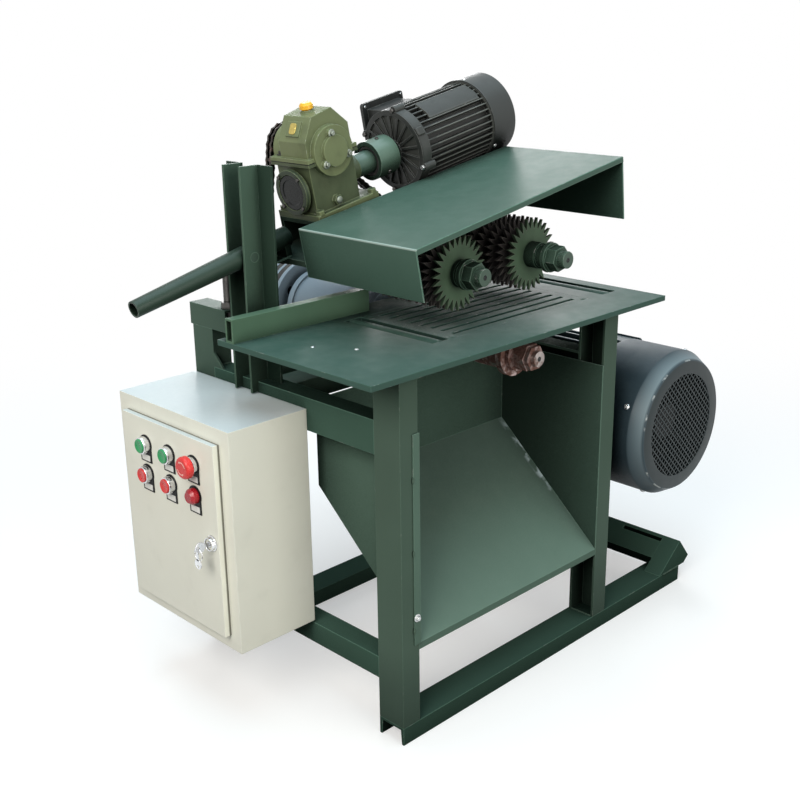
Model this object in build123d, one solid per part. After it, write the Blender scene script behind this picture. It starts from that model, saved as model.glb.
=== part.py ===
"""Multi-rip saw: a welded channel frame with a slotted table, a belt-driven saw arbor,
a hinged feed carriage with two spiked rollers, and a control cabinet.

Working coordinates start at the outside corner of the near front leg on the floor:
X runs with the feed, Y runs along the arbor, Z is up. The finished model is moved so that
the origin lies on the floor under the middle of its overall length and width.
"""
import os
from math import acos, atan2, cos, degrees, hypot, pi, radians, sin, tan

from build123d import *

# Driving dimensions, millimetres
FRAME_LENGTH = 537
FRAME_WIDTH = 507
RAIL_LENGTH = 794
CHANNEL_WEB = 55
CHANNEL_FLANGE = 37
RAIL_FLANGE = 31
CHANNEL_WALL = 4.5
ANGLE_LEG = 38
ANGLE_WALL = 4
GUSSET = 25

TABLE_TOP = 633
TABLE_PLATE = 9
TABLE_LENGTH = 713
TABLE_WIDTH = 349
TABLE_FRONT_OVERHANG = 88
TABLE_SIDE_OVERHANG = 36
INSERT_X = 165
INSERT_Y = 50
INSERT_LENGTH = 350
INSERT_WIDTH = 200
INSERT_PLATE = 5
INSERT_LEDGE = 8
BLADE_SLOTS = 8
BLADE_SLOT_WIDTH = 8
BLADE_SLOT_LENGTH = 310
IDLER_RADIUS = 18
IDLER_AXLE_RADIUS = 6
IDLER_PROUD = 0.5
IDLER_LUG = 11
IDLER_GAP = 1
INFEED_IDLER_X = 140
OUTFEED_IDLER_X = 577
FENCE_GAP = 22
FENCE_LENGTH = 286
FENCE_HEIGHT = 38
FENCE_DEPTH = 18
FENCE_WALL = 3

TOP_RAIL_TOP = 540
LOW_RAIL_TOP = 140
SPINDLE_BEAM_TOP = 511
SPINDLE_BEAM_INSET = 14
MOTOR_RAIL_TOP = 226
OUTRIGGER_TILT = 39
OUTRIGGER_FOOT = 725
OUTRIGGER_LENGTH = 88
SLOT_LENGTH = 93
SLOT_WIDTH = 8
SLOT_INSET = 11

COLUMN_FRONT = 14
COLUMN_TOP = 890
COLUMN_TONGUE = 17
COLUMN_SETBACK = 21
COLUMN_GAP = 38
PIN_RADIUS = 8
PIN_HEAD = 8
PIN_HEAD_FLATS = 24
STOP_PIN_RADIUS = 6
STOP_BAR_TOP = 645
STOP_BAR_GAP = 3
STOP_BAR_LENGTH = 100
STOP_ROD_RADIUS = 7.5
STOP_ROD_LENGTH = 118
STOP_ROD_BELOW = 47
STOP_ROD_INSET = 13
STOP_NUT = 11
STOP_NUT_FLATS = 24

HOPPER_LIP_Z = 172
HOPPER_DEPTH = 231
HOPPER_SLOPE = 41.5
HOPPER_TOP = 524
HOPPER_SHEET = 2
HOPPER_LIP = 12
HOPPER_FLANGE = 14

ARBOR_X = 315
ARBOR_Z = 577
ARBOR_RADIUS = 20
ARBOR_END_RADIUS = 13
ARBOR_END_LENGTH = 16
ARBOR_START = -4
ARBOR_PROUD = 2
FLANGE_RADIUS = 38
FLANGE_WIDTH = 12
COLLAR_RADIUS = 30
COLLAR_START = 58
COLLAR_COUNT = 6
COLLAR_GROOVE = 1.5
SPACER_RADIUS = 25
SPACER_WIDTH = 14
WASHER_RADIUS = 28
WASHER_WIDTH = 8
ARBOR_NUT_FLATS = 42
END_NUT_FLATS = 38
HOUSING_GAP = 23
HOUSING_LENGTH = 220
HOUSING_RADIUS = 62
HOUSING_FOOT = 130
CAP_RADIUS = 67
CAP_WIDTH = 12

PULLEY_GAP = 16
PULLEY_WIDTH = 68
PULLEY_DISH = 14
PULLEY_RIM = 8
PULLEY_HUB_WALL = 16
PULLEY_HOLES = 5
ARBOR_PULLEY_RADIUS = 84
MOTOR_PULLEY_RADIUS = 90
BELT_COUNT = 3
BELT_PITCH = 19
BELT_WIDTH = 13
BELT_DEPTH = 9
GROOVE_FLOOR = 1

MOTOR_X = 709
MOTOR_Z = 368
MOTOR_CENTRE_HEIGHT = 132
MOTOR_FRONT = -35
COVER_RADIUS = 140
COVER_LENGTH = 137
COVER_WALL = 2.5
COVER_NOSE = 26
COVER_FLARE = 15
COVER_SEAT = 12
GRILLE_RADIUS = 100
GRILLE_PITCH = 20
GRILLE_HOLE = 14.5
STATOR_RADIUS = 118
STATOR_LENGTH = 330
FIN_HEIGHT = 13
FIN_WIDTH = 4
FIN_COUNT = 30
SHIELD_WIDTH = 26
BEARING_CAP_RADIUS = 65
BEARING_CAP_WIDTH = 10
MOTOR_FOOT_START = 70
MOTOR_FOOT_LENGTH = 200
MOTOR_FOOT_HALF = 108
MOTOR_FOOT_PAD = 14
MOTOR_FOOT_WEB = 16
MOTOR_FOOT_WEB_INNER = 60
TERMINAL_BOX_START = 20
TERMINAL_BOX_LENGTH = 110
TERMINAL_BOX_DEPTH = 62
TERMINAL_BOX_HEIGHT = 100
TERMINAL_BOX_DROP = 10
TERMINAL_BOX_SINK = 4
MOTOR_SHAFT_RADIUS = 19
FAN_GAP = 35
FAN_LENGTH = 46
FAN_DISC = 6
FAN_HUB_RADIUS = 34
FAN_RADIUS = 105
FAN_BLADES = 8
FAN_BLADE = 3
MOTOR_PLATE = 10
MOTOR_PLATE_MARGIN = 9
MOTOR_ARM = 34
MOTOR_ARM_WEB = 8
MOTOR_ARM_TOP = 6
MOTOR_ARM_TIP = 20
MOTOR_ARM_PAD = 12

PIVOT_X = 6
PIVOT_Z = 746
CARRIAGE_TILT = 11.5
LEVER_TILT = 1.7
LEVER_RADIUS = 17
LEVER_TIP_RADIUS = 13.5
LEVER_OUTER = 219
LEVER_INNER = 86
LEVER_BORE = 10.5
LEVER_BORE_DEPTH = 70
SADDLE_WIDTH = 27
SADDLE_INSET = 4
PLATE_LENGTH = 531
PLATE_REACH = 96
PLATE_WIDTH = 150
PLATE_THICKNESS = 10
PLATE_TOP = -28.5
STAND_WALL = 7
PACKER_LENGTH = 32

HOOD_START = 68
HOOD_LENGTH = 512
HOOD_GAP = 60
HOOD_WIDTH = 262
HOOD_TOP = 29
HOOD_SHEET = 2
HOOD_FRONT_DROP = 83
HOOD_REAR_DROP = 108
HOOD_SKEW = 1.8
HOOD_REAR_LEAN = 5
HOOD_LIP = 9

DRIVE_INSET = 18
WORM_HEIGHT = 67
WHEEL_HEIGHT = 124
WHEEL_U = 176
REDUCER_BASE = 20
REDUCER_FOOT = 10
REDUCER_TAIL = 24
REDUCER_HALF_LENGTH = 56
REDUCER_HALF_WIDTH = 46
REDUCER_TOP = 189
CASE_INSET = 8
CASE_LIP = 6
SPLIT_DROP = 15
SPLIT_FLANGE = 13
SPLIT_LIP = 2
CROWN_NEAR_INSET = 4
CROWN_FAR_INSET = 21
CROWN_SHOULDER = 26
CROWN_SLOPE = 22
CROWN_FALL = 5
CROWN_CHAMFER = 30
CROWN_CHAMFER_DROP = 32
NAME_PAD_WIDTH = 32
NAME_PAD_HEIGHT = 25
NAME_PAD_PROUD = 3
WHEEL_BOSS_RADIUS = 41
WHEEL_CAP_RADIUS = 25.5
WHEEL_CAP_PROUD = 6
WHEEL_CAP_LUGS = 3
WHEEL_CAP_LUG_RADIUS = 7
WHEEL_CAP_BOLT_CIRCLE = 29
WHEEL_CAP_FIRST_LUG = 95
WORM_BOSS_RADIUS = 31
WORM_CAP_RADIUS = 38
WORM_CAP_PROUD = 6
WORM_CAP_RECESS = 30
WORM_CAP_RECESS_DEPTH = 3
WORM_NECK_RADIUS = 21
WORM_NECK_LENGTH = 22
WORM_SHAFT_DEPTH = 38
DRAIN_INSET = 60
DRAIN_HEIGHT = 22
DRAIN_FLATS = 15
CASE_BOLT_FLATS = 13
CASE_BOLT_HEAD = 7
CASE_BOLT_INSET = 9
BREATHER_RADIUS = 11.5
BREATHER_NECK = 2
BREATHER_RIM = 6
BREATHER_DOME = 4
BREATHER_DOME_RADIUS = 8.5

FEED_MOTOR_U = 354
FEED_MOTOR_LENGTH = 250
FEED_COVER_RADIUS = 76
FEED_COVER_WALL = 2
FEED_COVER_LENGTH = 64
FEED_COVER_CHAMFER = 6
FEED_COVER_SEAT = 8
FEED_VENTS = 12
FEED_VENT_WIDTH = 7
FEED_VENT_START = 22
FEED_VENT_MARGIN = 16
FEED_BODY_RADIUS = 62
FEED_FIN_HEIGHT = 9
FEED_FIN_WIDTH = 2.2
FEED_FIN_COUNT = 40
FEED_SHIELD = 22
FEED_SHIELD_RIM = 9
FEED_SHIELD_DISH = 4
FEED_HUB_RADIUS = 20
FEED_HUB_PROUD = 2
FEED_RIBS = 18
FEED_RIB_WIDTH = 4
FEED_SHAFT_DEPTH = 20
FEED_FOOT = -6
FEED_FOOT_FIRST = 30
FEED_FOOT_PITCH = 112
FEED_FOOT_LENGTH = 30
FEED_FOOT_HALF = 50
FEED_FOOT_PAD = 9
FEED_FOOT_WEB = 18
FEED_FOOT_WEB_HALF = 38
FEED_BOLT_FLATS = 12
FEED_BOLT_HEAD = 7
FEED_BOX_START = 9
FEED_BOX_LENGTH = 80
FEED_BOX_ROOT = 14
FEED_BOX_REACH = 85
FEED_BOX_DROP = 20
FEED_BOX_HEIGHT = 80
FEED_BOX_LID = 6
FEED_BOX_FLANGE = 12
FEED_BOX_CORNER = 6
COUPLING_RADIUS = 34
COUPLING_LENGTH = 46
COUPLING_START = 290
COUPLING_SHAFT_RADIUS = 9
COUPLING_HUB_RADIUS = 20
COUPLING_HUB_LENGTH = 12
COUPLING_DISH_RADIUS = 27
COUPLING_DISH = 5

ROLLER_RADIUS = 62
ROLLER_ROOT = 43
ROLLER_TEETH = 28
ROLLER_DISCS = 7
ROLLER_INSET = 67
DISC_PITCH = 24
DISC_WIDTH = 6
ROLLER_CORE = 30
ROLLER_SHAFT_RADIUS = 14
ROLLER_SLEEVE_RADIUS = 22
ROLLER_NECK_RADIUS = 18
ROLLER_SHOULDER = 5
ROLLER_NUT = 19
ROLLER_NUT_FLATS = 38
ROLLER_WASHER = 7
ROLLER_WASHER_RADIUS = 25
ROLLER_SHAFT_PROUD = 14
INFEED_U = 217
INFEED_DROP = 73
INFEED_INSET = 12
INFEED_SLEEVE = 8
OUTFEED_U = 394
OUTFEED_DROP = 105.5
OUTFEED_INSET = -11
OUTFEED_SLEEVE = 22
BEARING_WIDTH = 26
BEARING_RADIUS = 27
BEARING_NEAR_INSET = 10
BEARING_FAR_INSET = 6
BEARING_HALF_FOOT = 40
BEARING_HALF_WEB = 22
BEARING_FOOT = 9

CHAIN_PITCH = 12.7
CHAIN_STANDOFF = 12.5
SPROCKET_WIDTH = 5.4
SPROCKET_ROOT = 4.5
SPROCKET_TIP = 2.5
CHAIN_GAP = 6
CHAIN_PLATE = 2
CHAIN_HEIGHT = 11
CHAIN_WAIST = 0.72
CHAIN_ROLLER = 7.7
DRIVE_SPROCKET_TEETH = 17
CHAIN_IDLER_U = 117
CHAIN_IDLER_PIN = 8
CHAIN_IDLER_HUB = 14
CHAIN_IDLER_NUT_FLATS = 21
ROLLER_SPROCKET_TEETH = 13
OUTPUT_SHAFT_RADIUS = 11
OUTPUT_SHAFT_DEPTH = 28
OUTPUT_HUB_RADIUS = 19
OUTPUT_HUB_WIDTH = 10

CABINET_WIDTH = 300
CABINET_HEIGHT = 376
CABINET_DEPTH = 153
CABINET_NEAR = 210
CABINET_BOTTOM = 145
CABINET_SHEET = 2
DOOR_MARGIN = 25
DOOR_DEPTH = 12
DOOR_SHEET = 2
DOOR_GAP = 0.5
DOOR_LAP = 10
HINGE_RADIUS = 3.5
HINGE_LENGTH = 24
HINGE_OFFSET = 4.5
HINGE_INSET = 40
HINGE_LEAF = 2
BUTTON_COLUMNS = 66
BUTTON_ROWS = 51
BUTTON_SHIFT = 5
BUTTON_DROP = 44
COLLAR_OUTER = 14.5
COLLAR_HEIGHT = 7
BUTTON_HEAD_RADIUS = 13.4
BUTTON_HEAD = 3.5
BUTTON_BEVEL = 1
BUTTON_STEM_RADIUS = 9
BUTTON_STEM_INSIDE = 2
BUTTON_TRAVEL = 2.5
MUSHROOM_RADIUS = 18
MUSHROOM_HEIGHT = 11.5
MUSHROOM_FILLET = 5
LEGEND_WIDTH = 30
LEGEND_DROP = 30
LEGEND_PLATE = 1.5
LEGEND_MARGIN = 2
LAMP_RADIUS = 13
LAMP_RIM = 8
LAMP_LENS = 5
LAMP_LENS_RADIUS = 9
LOCK_INSET = 17
LOCK_SINK = 2
LOCK_RADIUS = 9
LOCK_PROUD = 6
LOCK_BARREL = 5
CAM_GAP = 2
CAM_PLATE = 3
CAM_WIDTH = 8
CAM_REACH = 24
KEY_PLATE = 2
KEY_BLADE = 6
KEY_BLADE_LENGTH = 9
KEY_BOW_RADIUS = 9
KEY_BOW_OFFSET = 17
KEY_HOLE_RADIUS = 2.5
KEY_HOLE_OFFSET = 4

RUNNING_CLEARANCE = 0.05
SIDE_CLEARANCE = 0.3
ROD_CLEARANCE = 0.5
OVERCUT = 1

# Heights and places that follow from the driving dimensions
RAIL_TOP = RAIL_FLANGE
LEG_TOP = TABLE_TOP - TABLE_PLATE
FAR_LEG_Y = FRAME_WIDTH - CHANNEL_WEB
INNER_LENGTH = FRAME_LENGTH - 2 * CHANNEL_FLANGE
INNER_WIDTH = FRAME_WIDTH - 2 * CHANNEL_WEB
TABLE_X = -TABLE_FRONT_OVERHANG
TABLE_FAR = TABLE_WIDTH - TABLE_SIDE_OVERHANG
FENCE_Y = INSERT_Y + INSERT_WIDTH + FENCE_GAP
COLUMN_BACK = ANGLE_LEG - COLUMN_FRONT
COLUMN_NEAR_FACE = TABLE_FAR + COLUMN_SETBACK
COLUMN_FAR_FACE = COLUMN_NEAR_FACE + COLUMN_GAP
STOP_BAR_START = COLUMN_FAR_FACE + ANGLE_LEG + STOP_BAR_GAP
HOUSING_START = TABLE_FAR + HOUSING_GAP
HOUSING_END = HOUSING_START + HOUSING_LENGTH
COLLAR_WIDTH = (HOUSING_START - SPACER_WIDTH - COLLAR_START) / COLLAR_COUNT
SPINDLE_BEAM_Y = HOUSING_START + SPINDLE_BEAM_INSET
PULLEY_START = HOUSING_END + PULLEY_GAP
PULLEY_END = PULLEY_START + PULLEY_WIDTH
GROOVE_DEPTH = BELT_DEPTH + GROOVE_FLOOR
LEVER_Y = COLUMN_NEAR_FACE + COLUMN_GAP / 2
DRIVE_Y = COLUMN_NEAR_FACE + DRIVE_INSET
PLATE_START = HOOD_START + HOOD_SHEET
PLATE_END = PLATE_START + PLATE_LENGTH
PLATE_BOTTOM = PLATE_TOP - PLATE_THICKNESS
PLATE_NEAR = DRIVE_Y - PLATE_REACH
PLATE_FAR = PLATE_NEAR + PLATE_WIDTH
HOOD_END = HOOD_START + HOOD_LENGTH
HOOD_FAR = DRIVE_Y - HOOD_GAP
HOOD_NEAR = HOOD_FAR - HOOD_WIDTH
REDUCER_LOW = WHEEL_U - REDUCER_HALF_LENGTH
REDUCER_HIGH = WHEEL_U + REDUCER_HALF_LENGTH
REDUCER_NEAR = DRIVE_Y - REDUCER_HALF_WIDTH
REDUCER_FAR = DRIVE_Y + REDUCER_HALF_WIDTH
DISC_START = HOOD_NEAR + ROLLER_INSET
STACK_END = DISC_START + DISC_PITCH * (ROLLER_DISCS - 1) + DISC_WIDTH
BEARING_NEAR = PLATE_NEAR + BEARING_NEAR_INSET
BEARING_FAR = PLATE_FAR - BEARING_WIDTH - BEARING_FAR_INSET
CHAIN_MIDDLE = PLATE_FAR + CHAIN_STANDOFF
CABINET_FAR = CABINET_NEAR + CABINET_WIDTH
CABINET_TOP = CABINET_BOTTOM + CABINET_HEIGHT
DOOR_NEAR = CABINET_NEAR + DOOR_MARGIN
DOOR_FAR = CABINET_FAR - DOOR_MARGIN
DOOR_LOW = CABINET_BOTTOM + DOOR_MARGIN
DOOR_HIGH = CABINET_TOP - DOOR_MARGIN
DOOR_BACK = -CABINET_DEPTH - DOOR_GAP
DOOR_FRONT = DOOR_BACK - DOOR_DEPTH
BUTTON_FIRST_Y = (DOOR_NEAR + DOOR_FAR) / 2 - BUTTON_SHIFT + BUTTON_COLUMNS
BUTTON_TOP_Z = DOOR_HIGH - BUTTON_DROP
LOCK_Y = DOOR_NEAR + LOCK_INSET
LOCK_Z = (DOOR_LOW + DOOR_HIGH) / 2 - LOCK_SINK
CARRIAGE = Pos(PIVOT_X, 0, PIVOT_Z) * Rot(0, -CARRIAGE_TILT, 0)


def block(x0, x1, y0, y1, z0, z1):
    """A box between two opposite corners."""
    middle = Pos((x0 + x1) / 2, (y0 + y1) / 2, (z0 + z1) / 2)
    return middle * Box(x1 - x0, y1 - y0, z1 - z0)


def rod_x(y, z, x0, x1, radius):
    return Pos((x0 + x1) / 2, y, z) * Rot(0, 90, 0) * Cylinder(radius, x1 - x0)


def rod_y(x, z, y0, y1, radius):
    return Pos(x, (y0 + y1) / 2, z) * Rot(90, 0, 0) * Cylinder(radius, y1 - y0)


def rod_z(x, y, z0, z1, radius):
    return Pos(x, y, (z0 + z1) / 2) * Cylinder(radius, z1 - z0)


def hexagon(flats, height):
    """A hexagonal prism standing on the XY plane."""
    return extrude(RegularPolygon(flats / 2, 6, major_radius=False), height)


def hex_y(x, z, y0, y1, flats):
    return Pos(x, y1, z) * Rot(90, 0, 0) * hexagon(flats, y1 - y0)


def hex_z(x, y, z0, z1, flats):
    return Pos(x, y, z0) * hexagon(flats, z1 - z0)


def side_profile(points, y0, y1):
    """A closed outline of (x, z) points, extruded from y0 to y1."""
    face = make_face(Polyline(*points, close=True))
    return Pos(0, y1, 0) * Rot(90, 0, 0) * extrude(face, y1 - y0)


def channel(start, along, flanges_to, length, flange=CHANNEL_FLANGE):
    """Hot-rolled channel with tapered flanges; its web starts at the given corner."""
    root = CHANNEL_WALL * 1.5
    outline = Polyline(
        (0, 0),
        (flange, 0),
        (flange, CHANNEL_WALL),
        (CHANNEL_WALL, root),
        (CHANNEL_WALL, CHANNEL_WEB - root),
        (flange, CHANNEL_WEB - CHANNEL_WALL),
        (flange, CHANNEL_WEB),
        (0, CHANNEL_WEB),
        close=True,
    )
    plane = Plane(origin=start, x_dir=flanges_to, z_dir=along)
    return plane.location * extrude(make_face(outline), length)


def frame_members():
    """Bottom rails, legs, cross rails and the beams that carry the spindle."""
    height = LEG_TOP - RAIL_TOP
    far_height = STOP_BAR_TOP - ANGLE_LEG - RAIL_TOP
    corner = (FAR_LEG_Y, TOP_RAIL_TOP)
    triangle = Polyline(corner, (corner[0] - GUSSET, corner[1]), (corner[0], corner[1] + GUSSET), close=True)
    gusset_plate = extrude(Plane.YZ * make_face(triangle), CHANNEL_WALL)
    members = {
        "bottom_rail_near": channel((0, 0, RAIL_TOP), (1, 0, 0), (0, 0, -1), RAIL_LENGTH, RAIL_FLANGE),
        "bottom_rail_far": channel((0, FAR_LEG_Y, RAIL_TOP), (1, 0, 0), (0, 0, -1), RAIL_LENGTH, RAIL_FLANGE),
        "leg_front_near": channel((0, 0, RAIL_TOP), (0, 0, 1), (1, 0, 0), height),
        "leg_front_far": channel((0, FAR_LEG_Y, RAIL_TOP), (0, 0, 1), (1, 0, 0), far_height) + gusset_plate,
        "leg_rear_near": channel((FRAME_LENGTH, CHANNEL_WEB, RAIL_TOP), (0, 0, 1), (-1, 0, 0), height),
        "leg_rear_far": channel((FRAME_LENGTH, FRAME_WIDTH, RAIL_TOP), (0, 0, 1), (-1, 0, 0), height),
        "rear_low_rail": channel(
            (FRAME_LENGTH, FAR_LEG_Y, MOTOR_RAIL_TOP), (0, -1, 0), (-1, 0, 0), INNER_WIDTH
        ),
    }
    low_rail = block(0, ANGLE_WALL, CHANNEL_WEB, FAR_LEG_Y, LOW_RAIL_TOP - ANGLE_LEG, LOW_RAIL_TOP)
    low_rail += block(0, ANGLE_LEG, CHANNEL_WEB, FAR_LEG_Y, LOW_RAIL_TOP - ANGLE_WALL, LOW_RAIL_TOP)
    top_rail = channel((0, CHANNEL_WEB, TOP_RAIL_TOP), (0, 1, 0), (1, 0, 0), INNER_WIDTH)
    members["front_rails"] = Compound(children=[low_rail, top_rail])
    members["inner_beams"] = inner_beams()
    members["outrigger"] = outrigger()
    return members


def inner_beams():
    """Rear top rail, its table post and the two beams under the spindle housing."""
    rail = channel((FRAME_LENGTH, FAR_LEG_Y, TOP_RAIL_TOP), (0, -1, 0), (-1, 0, 0), INNER_WIDTH)
    near_start = (CHANNEL_FLANGE, SPINDLE_BEAM_Y, SPINDLE_BEAM_TOP)
    far_start = (CHANNEL_FLANGE, FAR_LEG_Y, SPINDLE_BEAM_TOP)
    near_beam = channel(near_start, (1, 0, 0), (0, 0, -1), INNER_LENGTH)
    far_beam = channel(far_start, (1, 0, 0), (0, 0, -1), INNER_LENGTH)
    post_x = FRAME_LENGTH - ANGLE_LEG
    post_y = TABLE_FAR - ANGLE_LEG
    post = block(FRAME_LENGTH - ANGLE_WALL, FRAME_LENGTH, post_y, TABLE_FAR, TOP_RAIL_TOP, LEG_TOP)
    post += block(post_x, FRAME_LENGTH, TABLE_FAR - ANGLE_WALL, TABLE_FAR, TOP_RAIL_TOP, LEG_TOP)
    return Compound(children=[rail, near_beam, far_beam, post])


def outrigger():
    """Sloping motor slide: two channel stubs on the bottom rails and a slotted cross channel."""
    tilt = radians(OUTRIGGER_TILT)
    up_slope = (cos(tilt), 0, sin(tilt))
    into_slope = (sin(tilt), 0, -cos(tilt))
    length = OUTRIGGER_LENGTH
    top = (OUTRIGGER_FOOT + length * cos(tilt), RAIL_TOP + length * sin(tilt))
    start = (OUTRIGGER_FOOT - CHANNEL_FLANGE * cos(tilt), RAIL_TOP - CHANNEL_FLANGE * sin(tilt))
    below = block(0, 2 * RAIL_LENGTH, 0, FRAME_WIDTH, -RAIL_LENGTH, RAIL_TOP)
    deep = CHANNEL_WEB * sin(tilt)
    low = CHANNEL_WEB * cos(tilt)
    run = length + CHANNEL_FLANGE
    near = channel((start[0] + deep, 0, start[1] - low), up_slope, (0, 1, 0), run) - below
    far_start = (start[0], FRAME_WIDTH, start[1])
    far = channel(far_start, up_slope, (0, -1, 0), run) - below
    cross_width = FRAME_WIDTH - 2 * CHANNEL_FLANGE
    cross = channel((top[0], CHANNEL_FLANGE, top[1]), (0, 1, 0), into_slope, cross_width)
    slot_offset = (CHANNEL_WEB + SLOT_LENGTH) / 2 + SLOT_INSET
    slot = Box(SLOT_WIDTH, 4 * CHANNEL_WALL, SLOT_LENGTH)
    for y in (slot_offset, FRAME_WIDTH - slot_offset):
        place = Plane(origin=(top[0], y, top[1]), x_dir=up_slope, z_dir=(0, 1, 0)).location
        cross -= place * Pos(-SLOT_INSET, 0, 0) * slot
    for y in (0, FAR_LEG_Y):
        cross -= block(0, RAIL_LENGTH, y, y + CHANNEL_WEB, 0, RAIL_TOP)
    return Compound(children=[cross, near, far])


def columns():
    """Two angle columns back to back; the lift lever swings on a pin in the gap between them."""
    def column(web_face, flange_end):
        web_back = web_face + (ANGLE_WALL if flange_end > web_face else -ANGLE_WALL)
        web = (min(web_face, web_back), max(web_face, web_back))
        flange = (min(web_face, flange_end), max(web_face, flange_end))
        post = block(-COLUMN_FRONT, COLUMN_BACK, *web, TOP_RAIL_TOP, COLUMN_TOP)
        post += block(COLUMN_BACK - ANGLE_WALL, COLUMN_BACK, *flange, TOP_RAIL_TOP, COLUMN_TOP)
        post += block(-COLUMN_FRONT, 0, *web, TOP_RAIL_TOP - COLUMN_TONGUE, TOP_RAIL_TOP)
        bore = rod_y(PIVOT_X, PIVOT_Z, web[0] - OVERCUT, web[1] + OVERCUT, PIN_RADIUS + RUNNING_CLEARANCE)
        return post - bore

    near_end = COLUMN_NEAR_FACE - ANGLE_WALL
    head_start = COLUMN_FAR_FACE + ANGLE_WALL
    pin = rod_y(PIVOT_X, PIVOT_Z, near_end, head_start, PIN_RADIUS)
    pin += hex_y(PIVOT_X, PIVOT_Z, head_start, head_start + PIN_HEAD, PIN_HEAD_FLATS)
    slope = radians(CARRIAGE_TILT + LEVER_TILT)
    off_axis = LEVER_RADIUS + STOP_PIN_RADIUS + SIDE_CLEARANCE
    stop_x = COLUMN_BACK - STOP_PIN_RADIUS
    reach = (stop_x - PIVOT_X - off_axis * sin(slope)) / cos(slope)
    stop_z = PIVOT_Z + reach * sin(slope) - off_axis * cos(slope)
    stop = rod_y(stop_x, stop_z, COLUMN_NEAR_FACE, COLUMN_FAR_FACE, STOP_PIN_RADIUS)
    return {
        "column_near": column(COLUMN_NEAR_FACE, COLUMN_NEAR_FACE - ANGLE_LEG),
        "column_far": column(COLUMN_FAR_FACE, COLUMN_FAR_FACE + ANGLE_LEG) + stop,
        "pivot_pin": pin,
    }


def lever_stop():
    """Angle bar on the far front leg with a threaded stop rod for the lift lever."""
    end = STOP_BAR_START + STOP_BAR_LENGTH
    x = ANGLE_LEG / 2
    y = STOP_BAR_START + STOP_ROD_INSET
    top = STOP_BAR_TOP
    under = top - ANGLE_WALL
    bar = block(0, ANGLE_WALL, STOP_BAR_START, end, top - ANGLE_LEG, top)
    bar += block(0, ANGLE_LEG, STOP_BAR_START, end, under, top)
    bar -= rod_z(x, y, under - OVERCUT, top + OVERCUT, STOP_ROD_RADIUS + ROD_CLEARANCE)
    start = top - STOP_ROD_BELOW
    rod = rod_z(x, y, start, start + STOP_ROD_LENGTH, STOP_ROD_RADIUS)
    rod += hex_z(x, y, top, top + STOP_NUT, STOP_NUT_FLATS)
    rod += hex_z(x, y, under - STOP_NUT, under, STOP_NUT_FLATS)
    return {"stop_bar": bar, "stop_rod": rod}


def idler_axis():
    return TABLE_TOP + IDLER_PROUD - IDLER_RADIUS


def table_parts():
    """Slotted table, throat insert, two idle rollers flush with the table, and the fence."""
    insert_end_x = INSERT_X + INSERT_LENGTH
    insert_end_y = INSERT_Y + INSERT_WIDTH
    under = TABLE_TOP - TABLE_PLATE
    through = (under - OVERCUT, TABLE_TOP + OVERCUT)
    slot_half = IDLER_RADIUS + IDLER_GAP
    axle_bore = IDLER_AXLE_RADIUS + RUNNING_CLEARANCE
    axis = idler_axis()
    plate = block(TABLE_X, TABLE_X + TABLE_LENGTH, -TABLE_SIDE_OVERHANG, TABLE_FAR, under, TABLE_TOP)
    rebate = (TABLE_TOP - INSERT_PLATE, TABLE_TOP + OVERCUT)
    plate -= block(INSERT_X, insert_end_x, INSERT_Y, insert_end_y, *rebate)
    plate -= block(
        INSERT_X + INSERT_LEDGE, insert_end_x - INSERT_LEDGE,
        INSERT_Y + INSERT_LEDGE, insert_end_y - INSERT_LEDGE, *through,
    )
    notch = (COLUMN_NEAR_FACE - ANGLE_LEG, TABLE_FAR + OVERCUT)
    plate -= block(-COLUMN_FRONT - OVERCUT, COLUMN_BACK, *notch, *through)
    nodes = {}
    for name, x in (("infeed_idler", INFEED_IDLER_X), ("outfeed_idler", OUTFEED_IDLER_X)):
        plate -= block(x - slot_half, x + slot_half, INSERT_Y, insert_end_y, *through)
        for y in (INSERT_Y - IDLER_LUG, insert_end_y):
            ear = block(x - IDLER_LUG, x + IDLER_LUG, y, y + IDLER_LUG, axis - IDLER_LUG, under)
            plate += ear - rod_y(x, axis, y - OVERCUT, y + IDLER_LUG + OVERCUT, axle_bore)
        roller = rod_y(x, axis, INSERT_Y + IDLER_GAP, insert_end_y - IDLER_GAP, IDLER_RADIUS)
        axle = rod_y(x, axis, INSERT_Y - IDLER_LUG, insert_end_y + IDLER_LUG, IDLER_AXLE_RADIUS)
        nodes[name] = roller + axle
    nodes["table_plate"] = plate
    nodes["throat_insert"] = throat_insert()

    fence_end = TABLE_X + FENCE_LENGTH
    top = TABLE_TOP + FENCE_HEIGHT
    fence = block(TABLE_X, fence_end, FENCE_Y, FENCE_Y + FENCE_DEPTH, TABLE_TOP, top)
    fence -= block(
        TABLE_X - OVERCUT, fence_end + OVERCUT, FENCE_Y + FENCE_WALL, FENCE_Y + FENCE_DEPTH - FENCE_WALL,
        TABLE_TOP + FENCE_WALL, top - FENCE_WALL,
    )
    nodes["fence"] = fence
    return nodes


def throat_insert():
    """Loose plate in the table's rebate with a row of blade slots."""
    fit = SIDE_CLEARANCE
    under = TABLE_TOP - INSERT_PLATE
    insert = block(
        INSERT_X + fit, INSERT_X + INSERT_LENGTH - fit, INSERT_Y + fit, INSERT_Y + INSERT_WIDTH - fit,
        under, TABLE_TOP,
    )
    margin = 0.75
    pitch = INSERT_WIDTH / (BLADE_SLOTS - 1 + 2 * margin)
    start = INSERT_X + (INSERT_LENGTH - BLADE_SLOT_LENGTH) / 2
    for i in range(BLADE_SLOTS):
        y = INSERT_Y + pitch * (i + margin) - BLADE_SLOT_WIDTH / 2
        insert -= block(
            start, start + BLADE_SLOT_LENGTH, y, y + BLADE_SLOT_WIDTH, under - OVERCUT, TABLE_TOP + OVERCUT
        )
    return insert


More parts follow.
